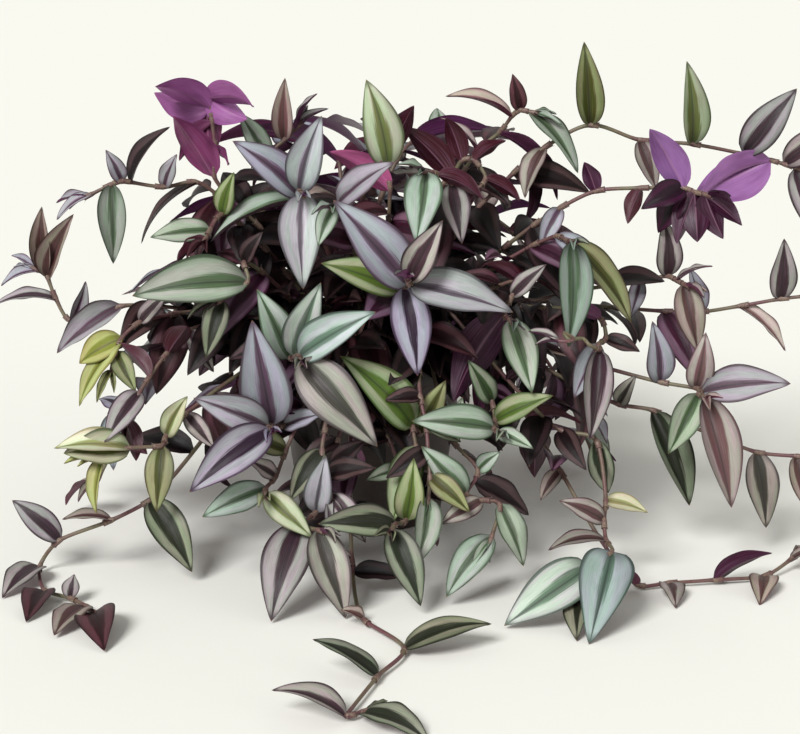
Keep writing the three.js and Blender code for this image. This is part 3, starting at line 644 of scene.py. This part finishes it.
def add_small_leaves(shoots):
    """Finds the small leaves of each shoot, one after the other."""
    taken = [touch_points(leaf) for shoot in shoots for leaf in shoot.leaves]
    taken += [touch_points(leaf) for shoot in shoots for leaf, _ in shoot.extra]
    taken = np.concatenate(taken + [np.array(shoot.points) for shoot in shoots])
    shown = [touch_points(leaf) for shoot in shoots for leaf in shoot.shown]
    spots, spots_far = in_view(np.concatenate(shown))
    for shoot in shoots:
        for base in fill_places(shoot):
            leaf = small_leaf(base, reach_at(shoot, base), taken, spots, spots_far)
            if leaf:
                shoot.small.append(leaf)
                taken = np.concatenate([taken, touch_points(leaf)])


# Drawing fine leaves and stems


class Shape:
    """The corners, faces and per-corner facts of a piece while it is being built."""

    def __init__(self):
        self.places = []
        self.faces = []
        self.looks = []
        self.facts = []
        self.count = 0

    def add(self, places, faces, look, facts, tones):
        """Adds a sheet: its corners, its faces, its material, and (along, across, seed) per corner."""
        self.places.append(places)
        self.faces.extend(tuple(index + self.count for index in face) for face in faces)
        self.looks.extend([look] * len(faces))
        self.facts.append(np.hstack([facts, np.tile(np.ravel(tones), (len(places), 1))]))
        self.count += len(places)

    def finish(self, name, materials):
        """The piece as one object, kept inside the faceted plant's box and so above the floor."""
        mesh = bpy.data.meshes.new(name)
        places = np.clip(np.concatenate(self.places), *cad_box)
        mesh.from_pydata(places.tolist(), [], self.faces)
        facts = np.concatenate(self.facts).astype(np.float32)
        place = mesh.attributes.new("leaf_place", "FLOAT_VECTOR", "POINT")
        place.data.foreach_set("vector", facts[:, :3].ravel())
        for index, tone in enumerate(("centre", "stripe", "margin", "under")):
            colour = mesh.attributes.new(f"tone_{tone}", "FLOAT_COLOR", "POINT")
            first = 3 + index * 4
            colour.data.foreach_set("color", facts[:, first : first + 4].ravel())
        piece = linked(name, mesh)
        dress(piece, *materials)
        mesh.polygons.foreach_set("material_index", np.array(self.looks, np.int32))
        return piece


def linked(name, data):
    """A new object in the scene with this data."""
    made = bpy.data.objects.new(name, data)
    bpy.context.scene.collection.objects.link(made)
    return made


def dress(piece, *materials):
    """Gives a piece smooth faces and its materials."""
    piece.data.shade_smooth()
    piece.data.materials.clear()
    for material in materials:
        piece.data.materials.append(material)


def grid_faces(rows, columns, closed_tip, flipped=False):
    """The faces of a sheet of rows by columns of corners, with one more corner at its tip."""
    faces = []
    for row in range(rows - 1):
        for column in range(columns - 1):
            here = row * columns + column
            faces.append((here, here + 1, here + columns + 1, here + columns))
    if closed_tip:
        last = (rows - 1) * columns
        faces.extend((last + column, last + column + 1, rows * columns) for column in range(columns - 1))
    return [face[::-1] for face in faces] if flipped else faces


# The faces of a leaf's upper and under side, for each size of leaf
SHEETS = {
    size: [grid_faces(size[0], size[1] + 1, True, is_under) for is_under in (False, True)]
    for size in (FINE, SMALL)
}


def tone_facts(name):
    """The four colours of a tone, with a little change of its own, and the band's width as an alpha."""
    *colours, band = TONES[name]
    light, warm, widening = (rng.uniform(*limits) for limits in TONE_RANGES.values())
    band *= widening
    facts = []
    for colour in colours:
        red, green, blue, _ = srgb(*colour)
        facts.append((red * light * (1 + warm), green * light, blue * light * (1 - warm), band))
    return facts


# What stems and sheaths carry in the place of a leaf's tones
PLAIN = tone_facts("umber")


def bell(far, reach):
    """1 where far is nothing, and falling smoothly to nothing at about twice the reach."""
    return np.exp(-((far / reach) ** 2))


def add_leaf(shape, leaf, tone, size=FINE, furl=0.0):
    """A thin blade with a channelled midrib, a waved margin and a fine tip."""
    rows, columns = size
    tones = tone_facts(tone)
    seed = rng.random()
    droop, sickle, curl, wave, cycles, phase, twist, bend = (
        rng.uniform(*limits) for limits in LEAF_RANGES.values()
    )
    fold = FOLD * bend + furl

    along, normal, left = (np.array(way) for way in (leaf.along, leaf.normal, leaf.left))
    length = leaf.length
    u = np.append(np.linspace(0, 1, rows + 1)[:-1] ** 0.9, 1.0)
    v = np.linspace(1, -1, columns + 1)
    outline = np.sin(np.pi * u**0.72).clip(0, 1) ** 0.82 * (1 - 0.1 * u**4)
    width = leaf.half * outline + STALK_REACH * (1 - u) ** 10
    middle = (
        np.array(leaf.base)
        + np.outer(u * length, along)
        + np.outer(arch_at(u, length) - droop * length * u**3, normal)
        + np.outer(sickle * length * 4 * u * (1 - u), left)
    )
    turn = twist * u
    side = np.outer(np.cos(turn), left) + np.outer(np.sin(turn), normal)
    up = np.outer(np.cos(turn), normal) - np.outer(np.sin(turn), left)
    aside = np.abs(v)
    out = np.outer(width, v)
    ripple = np.sin(TURN * cycles * u + phase)[:, None]
    lift = np.outer(width, fold * aside**1.25 - curl * aside**4)
    lift += wave * np.outer(np.sin(np.pi * u) ** 0.5, aside**3 * np.sign(v)) * ripple
    lift -= CHANNEL_DEPTH * bell(out, CHANNEL_REACH) * (1 - u)[:, None]
    reach = np.outer(width, v / np.sqrt(1 + (fold * aside) ** 2))
    top = middle[:, None, :] + reach[:, :, None] * side[:, None, :] + lift[:, :, None] * up[:, None, :]
    rib = MIDRIB_THICKNESS * bell(out, MIDRIB_REACH) * (1 - 0.8 * u)[:, None]
    thickness = BLADE_THICKNESS * (1 - v**8) + rib
    under = top - thickness[:, :, None] * up[:, None, :]
    grid = np.stack(np.broadcast_arrays(u[:, None], v[None, :], seed), axis=2)
    facts = np.vstack([grid[:-1].reshape(-1, 3), (1.0, 0.0, seed)])
    for look, sheet, faces in zip((TOP, UNDER), (top, under), SHEETS[size]):
        places = np.vstack([sheet[:-1].reshape(-1, 3), middle[-1]])
        shape.add(places, faces, look, facts, tones)


def add_young_leaves(shape, points, tone):
    """Two small half-rolled leaves that hide the end of a stem."""
    end = points[-1]
    ahead = (end - points[-4]).normalized()
    base = end - ahead * YOUNG_BACK
    face = Vector((rng.uniform(-0.4, 0.4), -0.5, 1))
    across = ahead.cross(face).normalized()
    for length, lean in YOUNG:
        tip = base + (ahead + across * lean * rng.uniform(0.5, 1.3)).normalized() * length
        tip.z = max(tip.z, YOUNG_FLOOR)
        if in_box(tip) and is_free(np.array([tip])):
            add_leaf(shape, make_leaf(base, tip, face, YOUNG_HALF), tone, SMALL, YOUNG_FURL)


def frames_along(points):
    """A direction along, and two across, at each point of a line."""
    line = np.array(points)
    along = np.gradient(line, axis=0)
    along /= np.linalg.norm(along, axis=1, keepdims=True)
    side = np.array((1.0, 0.3, 0.0))
    sides = []
    for direction in along:
        side = side - direction * side.dot(direction)
        side /= np.linalg.norm(side)
        sides.append(side)
    sides = np.array(sides)
    return line, along, sides, np.cross(along, sides)


def lengths_along(points):
    """How far along their line each of the points is."""
    return np.append(0, np.cumsum(np.linalg.norm(np.diff(points, axis=0), axis=1)))


def add_tube(shape, centres, radii, sides, others, look, marks):
    """A round tube. marks holds how strongly each ring is tinted as a node."""
    angles = np.linspace(0, 2 * np.pi, STEM_SIDES + 1)
    ring = np.cos(angles)[None, :, None] * sides[:, None, :]
    ring = ring + np.sin(angles)[None, :, None] * others[:, None, :]
    places = (centres[:, None, :] + np.array(radii)[:, None, None] * ring).reshape(-1, 3)
    seeds = np.full(len(centres), rng.random())
    facts = np.stack([marks, lengths_along(centres) * PATCH_SCALE, seeds], axis=1)
    faces = grid_faces(len(centres), STEM_SIDES + 1, False)
    shape.add(places, faces, look, np.repeat(facts, STEM_SIDES + 1, axis=0), PLAIN)


def add_sheath(shape, line, node, radius):
    """The short sleeve beyond a node, closed at both ends, with hairs at its mouth."""
    near = slice(max(node - 1, 0), node + 4)
    gone = lengths_along(line[0][near])
    gone -= gone[node - near.start]
    centres, along, sides, others = (
        np.stack([np.interp(SHEATH_STEPS, gone, column) for column in values[near].T], axis=1)
        for values in line
    )
    widths = np.array(SHEATH_WIDTHS) * radius
    add_tube(shape, centres, widths, sides, others, SHEATH, np.zeros(len(widths)))
    centre, ahead, side, other = (values[MOUTH] for values in (centres, along, sides, others))
    for index in range(HAIRS):
        angle = 2 * np.pi * (index + rng.uniform(0, 0.8)) / HAIRS
        out = side * np.cos(angle) + other * np.sin(angle)
        aside = (other * np.cos(angle) - side * np.sin(angle)) * HAIR_THICKNESS
        root = centre - ahead * 0.0003 + out * radius * 1.3
        tip = root + (ahead * 0.8 + out * rng.uniform(0.3, 0.9)) * rng.uniform(*HAIR_LENGTHS)
        places = np.array((root + aside, root - aside, root + ahead * HAIR_THICKNESS * 2, tip))
        shape.add(places, HAIR_FACES, HAIR, np.zeros((4, 3)), PLAIN)


def add_stem(shape, points, nodes):
    """The stem with swollen nodes, a sheath over each node and a pointed end."""
    line = frames_along(points)
    centres, _, sides, others = line
    count = len(centres)
    part = np.arange(count) / (count - 1)
    radii = (STEM_ROOT_RADIUS + (STEM_TIP_RADIUS - STEM_ROOT_RADIUS) * part) * STEM_FULLNESS
    marks = np.zeros(count)
    for node in nodes:
        swelling = bell(np.linalg.norm(centres - centres[node], axis=1), SWELLING_REACH)
        radii = radii * (1 + SWELLING * swelling)
        marks = np.maximum(marks, swelling)
    left = np.linalg.norm(centres - centres[-1], axis=1)
    radii = radii * np.minimum(1, (left / STEM_TAPER) ** 0.6 + 0.05)
    add_tube(shape, centres, radii, sides, others, STEM, marks)
    for node in nodes:
        add_sheath(shape, line, node, radii[node])


# Materials

# Factors that turn a leaf's colour a little greener or pinker in places
GREENER = (0.94, 1.03, 0.93, 1.0)
PINKER = (1.05, 0.97, 1.02, 1.0)
LEAF_GLOSS = 0.32
BLACK = (0.0, 0.0, 0.0, 1.0)

# How far apart the seeds set two leaves or stems in the noise, so that no two look alike
UPPER_SPREAD = 37.0
UNDER_SPREAD = 53.0
STEM_SPREAD = 31.0


class Nodes:
    """Short ways to build a procedural material."""

    def __init__(self, name):
        self.material = bpy.data.materials.new(name)
        self.material.use_nodes = True
        self.tree = self.material.node_tree
        self.shader = self.tree.nodes["Principled BSDF"]

    def make(self, kind, inputs=(), **settings):
        node = self.tree.nodes.new(kind)
        for key, value in settings.items():
            setattr(node, key, value)
        for key, value in dict(inputs).items():
            self.feed(node.inputs[key], value)
        return node

    def feed(self, socket, value):
        if isinstance(value, bpy.types.NodeSocket):
            self.tree.links.new(value, socket)
        else:
            socket.default_value = value

    def math(self, operation, *values):
        node = self.make("ShaderNodeMath", operation=operation)
        for socket, value in zip(node.inputs, values):
            self.feed(socket, value)
        return node.outputs[0]

    def mix(self, factor, first, second, blend="MIX"):
        inputs = {"Factor": factor, "A": first, "B": second}
        return self.make("ShaderNodeMix", inputs, data_type="RGBA", blend_type=blend).outputs["Result"]

    def ramp(self, value, low, high, start=0.0, end=1.0):
        inputs = {"Value": value, "From Min": low, "From Max": high, "To Min": start, "To Max": end}
        node = self.make("ShaderNodeMapRange", inputs, interpolation_type="SMOOTHSTEP")
        return node.outputs["Result"]

    def attribute(self, name, output="Color"):
        return self.make("ShaderNodeAttribute", attribute_name=name).outputs[output]

    def leaf_place(self):
        """Along the leaf, across it from -1 to 1, and a number of its own."""
        return self.make("ShaderNodeSeparateXYZ", {"Vector": self.attribute("leaf_place", "Vector")}).outputs

    def noise(self, vector, scale=1.0, detail=2.0):
        inputs = {"Vector": vector, "Scale": scale, "Detail": detail}
        return self.make("ShaderNodeTexNoise", inputs).outputs["Fac"]

    def stretched(self, u, v, shift, along, across, detail=2.0):
        """Noise stretched along the leaf."""
        place = {"X": self.math("MULTIPLY", u, along), "Y": self.math("MULTIPLY", v, across), "Z": shift}
        return self.noise(self.make("ShaderNodeCombineXYZ", place).outputs[0], detail=detail)

    def spot(self):
        return self.make("ShaderNodeTexCoord").outputs["Object"]

    def bump(self, height, strength, distance):
        inputs = {"Height": height, "Strength": strength, "Distance": distance}
        self.feed(self.shader.inputs["Normal"], self.make("ShaderNodeBump", inputs).outputs[0])

    def finish(self, colour, roughness, gloss=0.5):
        looks = {"Base Color": colour, "Roughness": roughness, "Specular IOR Level": gloss}
        for key, value in looks.items():
            self.feed(self.shader.inputs[key], value)
        return self.material


def leaf_top():
    """Two silver stripes with streaks, a centre band that narrows to the tip, and a dark margin, with
    painted shade toward the base and one half painted lighter than the other.
    """
    n = Nodes("leaf_upper")
    u, v, seed = n.leaf_place()
    centre, stripe, margin = (n.attribute(f"tone_{tone}") for tone in ("centre", "stripe", "margin"))
    width = n.attribute("tone_centre", "Alpha")
    shift = n.math("MULTIPLY", seed, UPPER_SPREAD)
    sway = n.stretched(u, v, shift, along=3.0, across=1.2)
    streak = n.stretched(u, v, shift, along=2.6, across=20.0, detail=3.0)
    fine = n.stretched(u, v, shift, along=8.0, across=64.0)
    cloud = n.stretched(u, v, n.math("ADD", shift, 5.0), along=2.4, across=2.4)
    hue = n.stretched(u, v, n.math("ADD", shift, 9.0), along=2.0, across=3.0)
    side = n.math("ABSOLUTE", v)
    across = n.math("MULTIPLY_ADD", n.math("SUBTRACT", sway, 0.5), 0.2, v)
    frayed = n.math("MULTIPLY_ADD", n.math("SUBTRACT", streak, 0.5), 0.26, n.math("ABSOLUTE", across))
    edge = n.math("MULTIPLY_ADD", n.math("SUBTRACT", streak, 0.5), 0.14, side)
    taper = n.math("MULTIPLY_ADD", n.math("POWER", n.math("SUBTRACT", 1.0, u), 0.55), 1.25, 0.12)
    band = n.math("MULTIPLY", width, taper)
    in_band = n.ramp(frayed, n.math("SUBTRACT", band, 0.07), n.math("ADD", band, 0.08), 1.0, 0.0)
    in_margin = n.math("MAXIMUM", n.ramp(edge, 0.8, 0.92), n.ramp(u, 0.88, 0.98))
    deep = n.mix(0.55, margin, BLACK)
    colour = n.mix(n.ramp(fine, 0.35, 0.75, 0.0, 0.3), stripe, centre)
    colour = n.mix(n.ramp(cloud, 0.42, 0.72, 0.0, 0.22), colour, margin)
    colour = n.mix(n.ramp(side, 0.55, 0.9, 0.0, 0.34), colour, margin)
    middle = n.mix(n.ramp(streak, 0.55, 0.85, 0.0, 0.3), centre, stripe)
    middle = n.mix(n.ramp(side, 0.0, 0.2, 0.45, 0.0), middle, deep)
    colour = n.mix(in_band, colour, middle)
    colour = n.mix(in_margin, colour, margin)
    colour = n.mix(n.ramp(edge, 0.9, 0.99, 0.0, 0.7), colour, deep)
    colour = n.mix(n.ramp(side, 0.012, 0.05, 0.75, 0.0), colour, deep)
    # Darker towards the base: partly the leaf's own deeper colour there, partly painted shade where the leaf
    # meets the stem
    colour = n.mix(n.ramp(u, 0.02, 0.22, 0.6, 0.0), colour, deep)
    colour = n.mix(n.ramp(u, 0.972, 0.995, 0.0, 0.7), colour, srgb(112, 78, 58))
    colour = n.mix(1.0, colour, n.mix(n.ramp(hue, 0.4, 0.6), GREENER, PINKER), "MULTIPLY")
    # Painted light and shade: one half of each leaf lighter and the other darker, with the side and amount
    # set by its seed
    lean = n.math("MULTIPLY", n.math("SUBTRACT", seed, 0.5), v)
    colour = n.mix(1.0, colour, n.math("MULTIPLY_ADD", lean, 0.5, 1.0), "MULTIPLY")
    n.bump(n.math("ADD", streak, n.math("MULTIPLY", fine, 0.5)), 0.4, 0.0006)
    return n.finish(colour, n.math("MULTIPLY_ADD", streak, 0.2, 0.34), LEAF_GLOSS)


def leaf_under():
    """The underside: purple with fine pale veins along it."""
    n = Nodes("leaf_underside")
    u, v, seed = n.leaf_place()
    under, margin = n.attribute("tone_under"), n.attribute("tone_margin")
    shift = n.math("MULTIPLY", seed, UNDER_SPREAD)
    streak = n.stretched(u, v, shift, along=2.0, across=24.0, detail=3.0)
    cloud = n.stretched(u, v, shift, along=2.2, across=1.6)
    vein = n.mix(0.28, under, srgb(200, 168, 208))
    colour = n.mix(n.ramp(streak, 0.42, 0.8, 0.0, 0.5), under, vein)
    colour = n.mix(n.ramp(cloud, 0.4, 0.75, 0.0, 0.55), colour, margin)
    colour = n.mix(n.ramp(n.math("ABSOLUTE", v), 0.02, 0.07, 0.4, 0.0), colour, srgb(150, 110, 132))
    n.bump(streak, 0.3, 0.0005)
    return n.finish(colour, n.math("MULTIPLY_ADD", cloud, 0.2, 0.32), LEAF_GLOSS)


def stem_skin():
    """Purple-brown to olive stems, darker at the nodes."""
    n = Nodes("stem_skin")
    mark, gone, seed = n.leaf_place()
    place = {"X": gone, "Y": n.math("MULTIPLY", seed, STEM_SPREAD)}
    cloud = n.noise(n.make("ShaderNodeCombineXYZ", place).outputs[0], scale=1.6)
    grain = n.noise(n.spot(), scale=900.0)
    colour = n.mix(n.ramp(cloud, 0.38, 0.66), srgb(98, 62, 66), srgb(106, 104, 78))
    colour = n.mix(n.math("MULTIPLY", mark, 0.7), colour, srgb(66, 36, 42))
    colour = n.mix(n.ramp(grain, 0.4, 0.8, 0.0, 0.3), colour, srgb(142, 120, 114))
    n.bump(grain, 0.2, 0.0003)
    return n.finish(colour, n.ramp(grain, 0.2, 0.8, 0.42, 0.58))


def sheath_skin():
    """The thin sleeve round each node, streaked with purple."""
    n = Nodes("sheath_skin")
    grain = n.noise(n.spot(), scale=1300.0)
    patch = n.noise(n.spot(), scale=160.0)
    colour = n.mix(n.ramp(grain, 0.35, 0.7), srgb(124, 112, 92), srgb(100, 62, 72))
    colour = n.mix(n.ramp(patch, 0.4, 0.7, 0.0, 0.6), colour, srgb(84, 48, 56))
    n.bump(grain, 0.2, 0.0003)
    return n.finish(colour, n.ramp(grain, 0.2, 0.8, 0.45, 0.6))


def hair_skin():
    """The pale hairs at a sheath's mouth."""
    n = Nodes("fine_hair")
    patch = n.noise(n.spot(), scale=300.0)
    return n.finish(n.mix(patch, srgb(206, 198, 190), srgb(180, 160, 164)), 0.6)


def soil_skin():
    """Dark potting mix with paler flecks."""
    n = Nodes("soil_crumb")
    crumb = n.noise(n.spot(), scale=420.0, detail=4.0)
    fleck = n.noise(n.spot(), scale=1500.0)
    colour = n.mix(n.ramp(crumb, 0.35, 0.65), srgb(34, 25, 20), srgb(66, 50, 40))
    colour = n.mix(n.ramp(fleck, 0.68, 0.76, 0.0, 0.6), colour, srgb(140, 126, 108))
    n.bump(crumb, 0.6, 0.002)
    return n.finish(colour, n.ramp(crumb, 0.3, 0.7, 0.98, 0.85))


def pot_skin():
    """Dark brown moulded plastic, a little dusty, with fine scuffs."""
    n = Nodes("pot_plastic")
    cloud = n.noise(n.spot(), scale=34.0, detail=4.0)
    scuff = n.noise(n.spot(), scale=700.0)
    level = n.make("ShaderNodeMapping", {"Vector": n.spot(), "Scale": (40.0, 40.0, 900.0)})
    scratch = n.noise(level.outputs[0], detail=1.0)
    colour = n.mix(n.ramp(cloud, 0.3, 0.7), srgb(46, 36, 33), srgb(62, 50, 45))
    colour = n.mix(n.ramp(scratch, 0.62, 0.74, 0.0, 0.25), colour, srgb(104, 90, 82))
    colour = n.mix(n.ramp(scuff, 0.66, 0.78, 0.0, 0.25), colour, srgb(120, 106, 96))
    n.bump(scuff, 0.12, 0.0004)
    return n.finish(colour, n.ramp(cloud, 0.2, 0.8, 0.38, 0.56))


# The pot and the soil


def turned(name, outline, sides):
    """A mesh turned round the Z axis from corners that start and end on it."""
    mesh = bmesh.new()
    rings = []
    angles = [2 * math.pi * side / sides for side in range(sides)]
    ways = [(math.cos(angle), math.sin(angle)) for angle in angles]
    for radius, height in outline:
        if radius == 0:
            rings.append([mesh.verts.new((0, 0, height))] * sides)
            continue
        rings.append([mesh.verts.new((radius * x, radius * y, height)) for x, y in ways])
    for lower, upper in zip(rings, rings[1:]):
        for side in range(sides):
            beside = (side + 1) % sides
            corners = (lower[side], lower[beside], upper[beside], upper[side])
            mesh.faces.new(list(dict.fromkeys(corners)))
    data = bpy.data.meshes.new(name)
    mesh.to_mesh(data)
    mesh.free()
    return linked(name, data)


def cut_holes(piece):
    """Cuts the drain holes through the floor of the pot."""
    low, high = -DRAIN_PAST, POT_FLOOR + DRAIN_PAST
    outline = [(0, low), (DRAIN_RADIUS, low), (DRAIN_RADIUS, high), (0, high)]
    cutters = []
    for index in range(DRAINS):
        angle = 2 * math.pi * index / DRAINS
        cutter = turned("drain", outline, DRAIN_SIDES)
        cutter.location = (DRAIN_CIRCLE * math.cos(angle), DRAIN_CIRCLE * math.sin(angle), 0)
        cut = piece.modifiers.new("drain", "BOOLEAN")
        cut.operation = "DIFFERENCE"
        cut.object = cutter
        cutters.append(cutter)
    bpy.context.view_layer.update()
    whole = piece.evaluated_get(bpy.context.evaluated_depsgraph_get())
    piece.data = bpy.data.meshes.new_from_object(whole)
    piece.modifiers.clear()
    for cutter in cutters:
        bpy.data.objects.remove(cutter)


def make_pot():
    """A tapered nursery pot with a rounded rim, two moulded rings and drain holes."""

    def wall_at(height, out=0.0):
        return (FOOT_RADIUS + WALL_SLOPE * height + out, height)

    # The foot with its softened edge, and the two moulded rings
    outline = [(0, 0), (FOOT_RADIUS - FOOT_BEVEL, 0), (FOOT_RADIUS - 0.0004, 0.0004), wall_at(FOOT_BEVEL)]
    for height in (LOW_RING, SHOULDER - RING_UNDER_RIM):
        outline += [wall_at(height - RING_HALF), wall_at(height - RING_OUT, RING_OUT)]
        outline += [wall_at(height + RING_OUT, RING_OUT), wall_at(height + RING_HALF)]
    # The softened step under the rim, and the rounded lip
    outline += [wall_at(SHOULDER - 0.001), (BODY_RADIUS + 0.0006, SHOULDER - 0.0001)]
    outline += [(RIM_RADIUS - 0.0008, SHOULDER + 0.0002), (RIM_RADIUS, SHOULDER + 0.0012)]
    for step in range(LIP_STEPS + 1):
        angle = math.pi * step / LIP_STEPS
        height = POT_HEIGHT - LIP + LIP * math.sin(angle)
        outline.append((RIM_RADIUS - LIP * (1 - math.cos(angle)), height))
    # Down the inside to the floor
    inside, foot = BODY_RADIUS - WALL, FOOT_RADIUS - WALL
    outline += [(inside + 0.0004, POT_HEIGHT - 0.0022), (inside, POT_HEIGHT - 0.004)]
    outline += [(foot + 0.0006, POT_FLOOR + 0.0008), (foot - 0.0006, POT_FLOOR), (0, POT_FLOOR)]
    pot = turned("nursery_pot", outline, POT_SIDES)
    cut_holes(pot)
    dress(pot, pot_skin())
    pot.data.set_sharp_from_angle(angle=math.radians(50))
    return pot


def add_crumb(mesh, centre, size, index):
    """An uneven crumb of the mix."""
    made = bmesh.ops.create_icosphere(mesh, subdivisions=1, radius=size)["verts"]
    stretch = rng.uniform(*CRUMB_STRETCH, 3)
    for vertex in made:
        vertex.co *= 1 + CRUMB_DENTS * noise.noise(vertex.co * 900 + Vector((index, 0, 0)))
        vertex.co.x *= stretch[0]
        vertex.co.y *= stretch[1]
        vertex.co.z *= stretch[2] * 0.7
        vertex.co += centre
    # A value that isn't used is drawn for each crumb, and keeps the crumbs after it as they are
    rng.random()


def make_soil():
    """The mix that fills the pot, with an uneven top of crumbs."""
    low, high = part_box("soil")
    radius = high[0]
    edge = high[2] - EDGE_DROP
    foot = radius - WALL_SLOPE * (edge - low[2])

    def top_at(share):
        return edge + CROWN * (1 - share**2)

    shares = [1 - ring / SOIL_RINGS for ring in range(1, SOIL_RINGS + 1)]
    outline = [(0, low[2]), (foot, low[2]), (radius, edge)]
    outline += [(radius * share, top_at(share)) for share in shares]
    soil = turned("potting_mix", outline, SOIL_SIDES)
    for vertex in soil.data.vertices:
        place = vertex.co
        if place.z > edge - 0.001:
            rise = sum(height * noise.noise(place * scale) for scale, height in SOIL_WAVES)
            inside = 1 - math.hypot(*place.xy) / radius
            place.z += rise * min(1, inside * 12)
    mesh = bmesh.new()
    mesh.from_mesh(soil.data)
    for index in range(CRUMBS):
        out = (radius - 0.003) * math.sqrt(rng.random())
        angle = rng.uniform(0, 2 * math.pi)
        size = rng.uniform(*CRUMB_SIZES)
        centre = Vector((out * math.cos(angle), out * math.sin(angle), top_at(out / radius) + size * 0.2))
        add_crumb(mesh, centre, size, index)
    mesh.to_mesh(soil.data)
    mesh.free()
    dress(soil, soil_skin())
    return soil


# The plant, read and drawn again


def draw_shoot(shoot):
    """A leafy stem as one piece: its stem, and its large, extra, small and young leaves."""
    shape = Shape()
    add_stem(shape, shoot.points, shoot.nodes)
    for leaf, tone in zip(shoot.leaves, shoot.tones):
        furl = FOLDED_MORE if tone.endswith(FOLDED) else 0.0
        add_leaf(shape, leaf, tone.rstrip(FOLDED), furl=furl)
    for leaf, tone in shoot.extra:
        add_leaf(shape, leaf, tone)
    for leaf in shoot.small:
        add_leaf(shape, leaf, rng.choice(shoot.small_tones), SMALL)
    if shoot.name not in BARE_ENDS:
        add_young_leaves(shape, shoot.points, shoot.tones[-1].rstrip(FOLDED))
    return shape.finish(shoot.name.replace("stem_", "leafy_"), skins)


skins = (leaf_top(), leaf_under(), stem_skin(), sheath_skin(), hair_skin())
stems = sorted(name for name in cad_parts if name.startswith("stem_"))
shoots = [read_shoot(name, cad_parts[name]) for name in stems]
add_small_leaves(shoots)

pieces = [(draw_shoot(shoot), shoot.name) for shoot in shoots]
for piece, name in (*pieces, (make_pot(), "pot"), (make_soil(), "soil")):
    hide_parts(name)
    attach(piece, "root")

# The photograph's camera, a plain pale floor and soft studio light
camera = linked("camera", bpy.data.cameras.new("camera"))
camera.data.lens = 90
camera.data.sensor_width = 36
camera.data.clip_start = 0.05
camera.location = EYE
camera.rotation_euler = (math.pi / 2 - ELEVATION, 0, 0)
bpy.context.scene.camera = camera

bpy.ops.mesh.primitive_plane_add(size=80)
floor = bpy.context.object
floor.name = "floor"
floor.data.materials.append(Nodes("floor").finish(srgb(238, 238, 231), roughness=0.9, gloss=0.0))


def add_light(name, place, strength, angle):
    """A far-off soft light that shines from a place toward the plant."""
    light = bpy.data.lights.new(name, "SUN")
    light.energy = strength
    light.angle = angle
    lamp = linked(name, light)
    lamp.location = place
    lamp.rotation_euler = (LIT - Vector(place)).to_track_quat("-Z", "Y").to_euler()


LIT = Vector((0, 0, 0.15))
add_light("key", (-1.5, -2.7, 2.8), strength=3.15, angle=0.4)
add_light("fill", (3.4, -2.4, 1.4), strength=0.3, angle=0.53)
add_light("back", (0.8, 3.2, 3.0), strength=0.2, angle=0.44)

world = bpy.data.worlds.new("studio")
world.use_nodes = True
sky = world.node_tree.nodes["Background"].inputs
sky["Color"].default_value = srgb(250, 249, 244)
sky["Strength"].default_value = 0.41
bpy.context.scene.world = world
bpy.context.scene.view_settings.view_transform = "Standard"
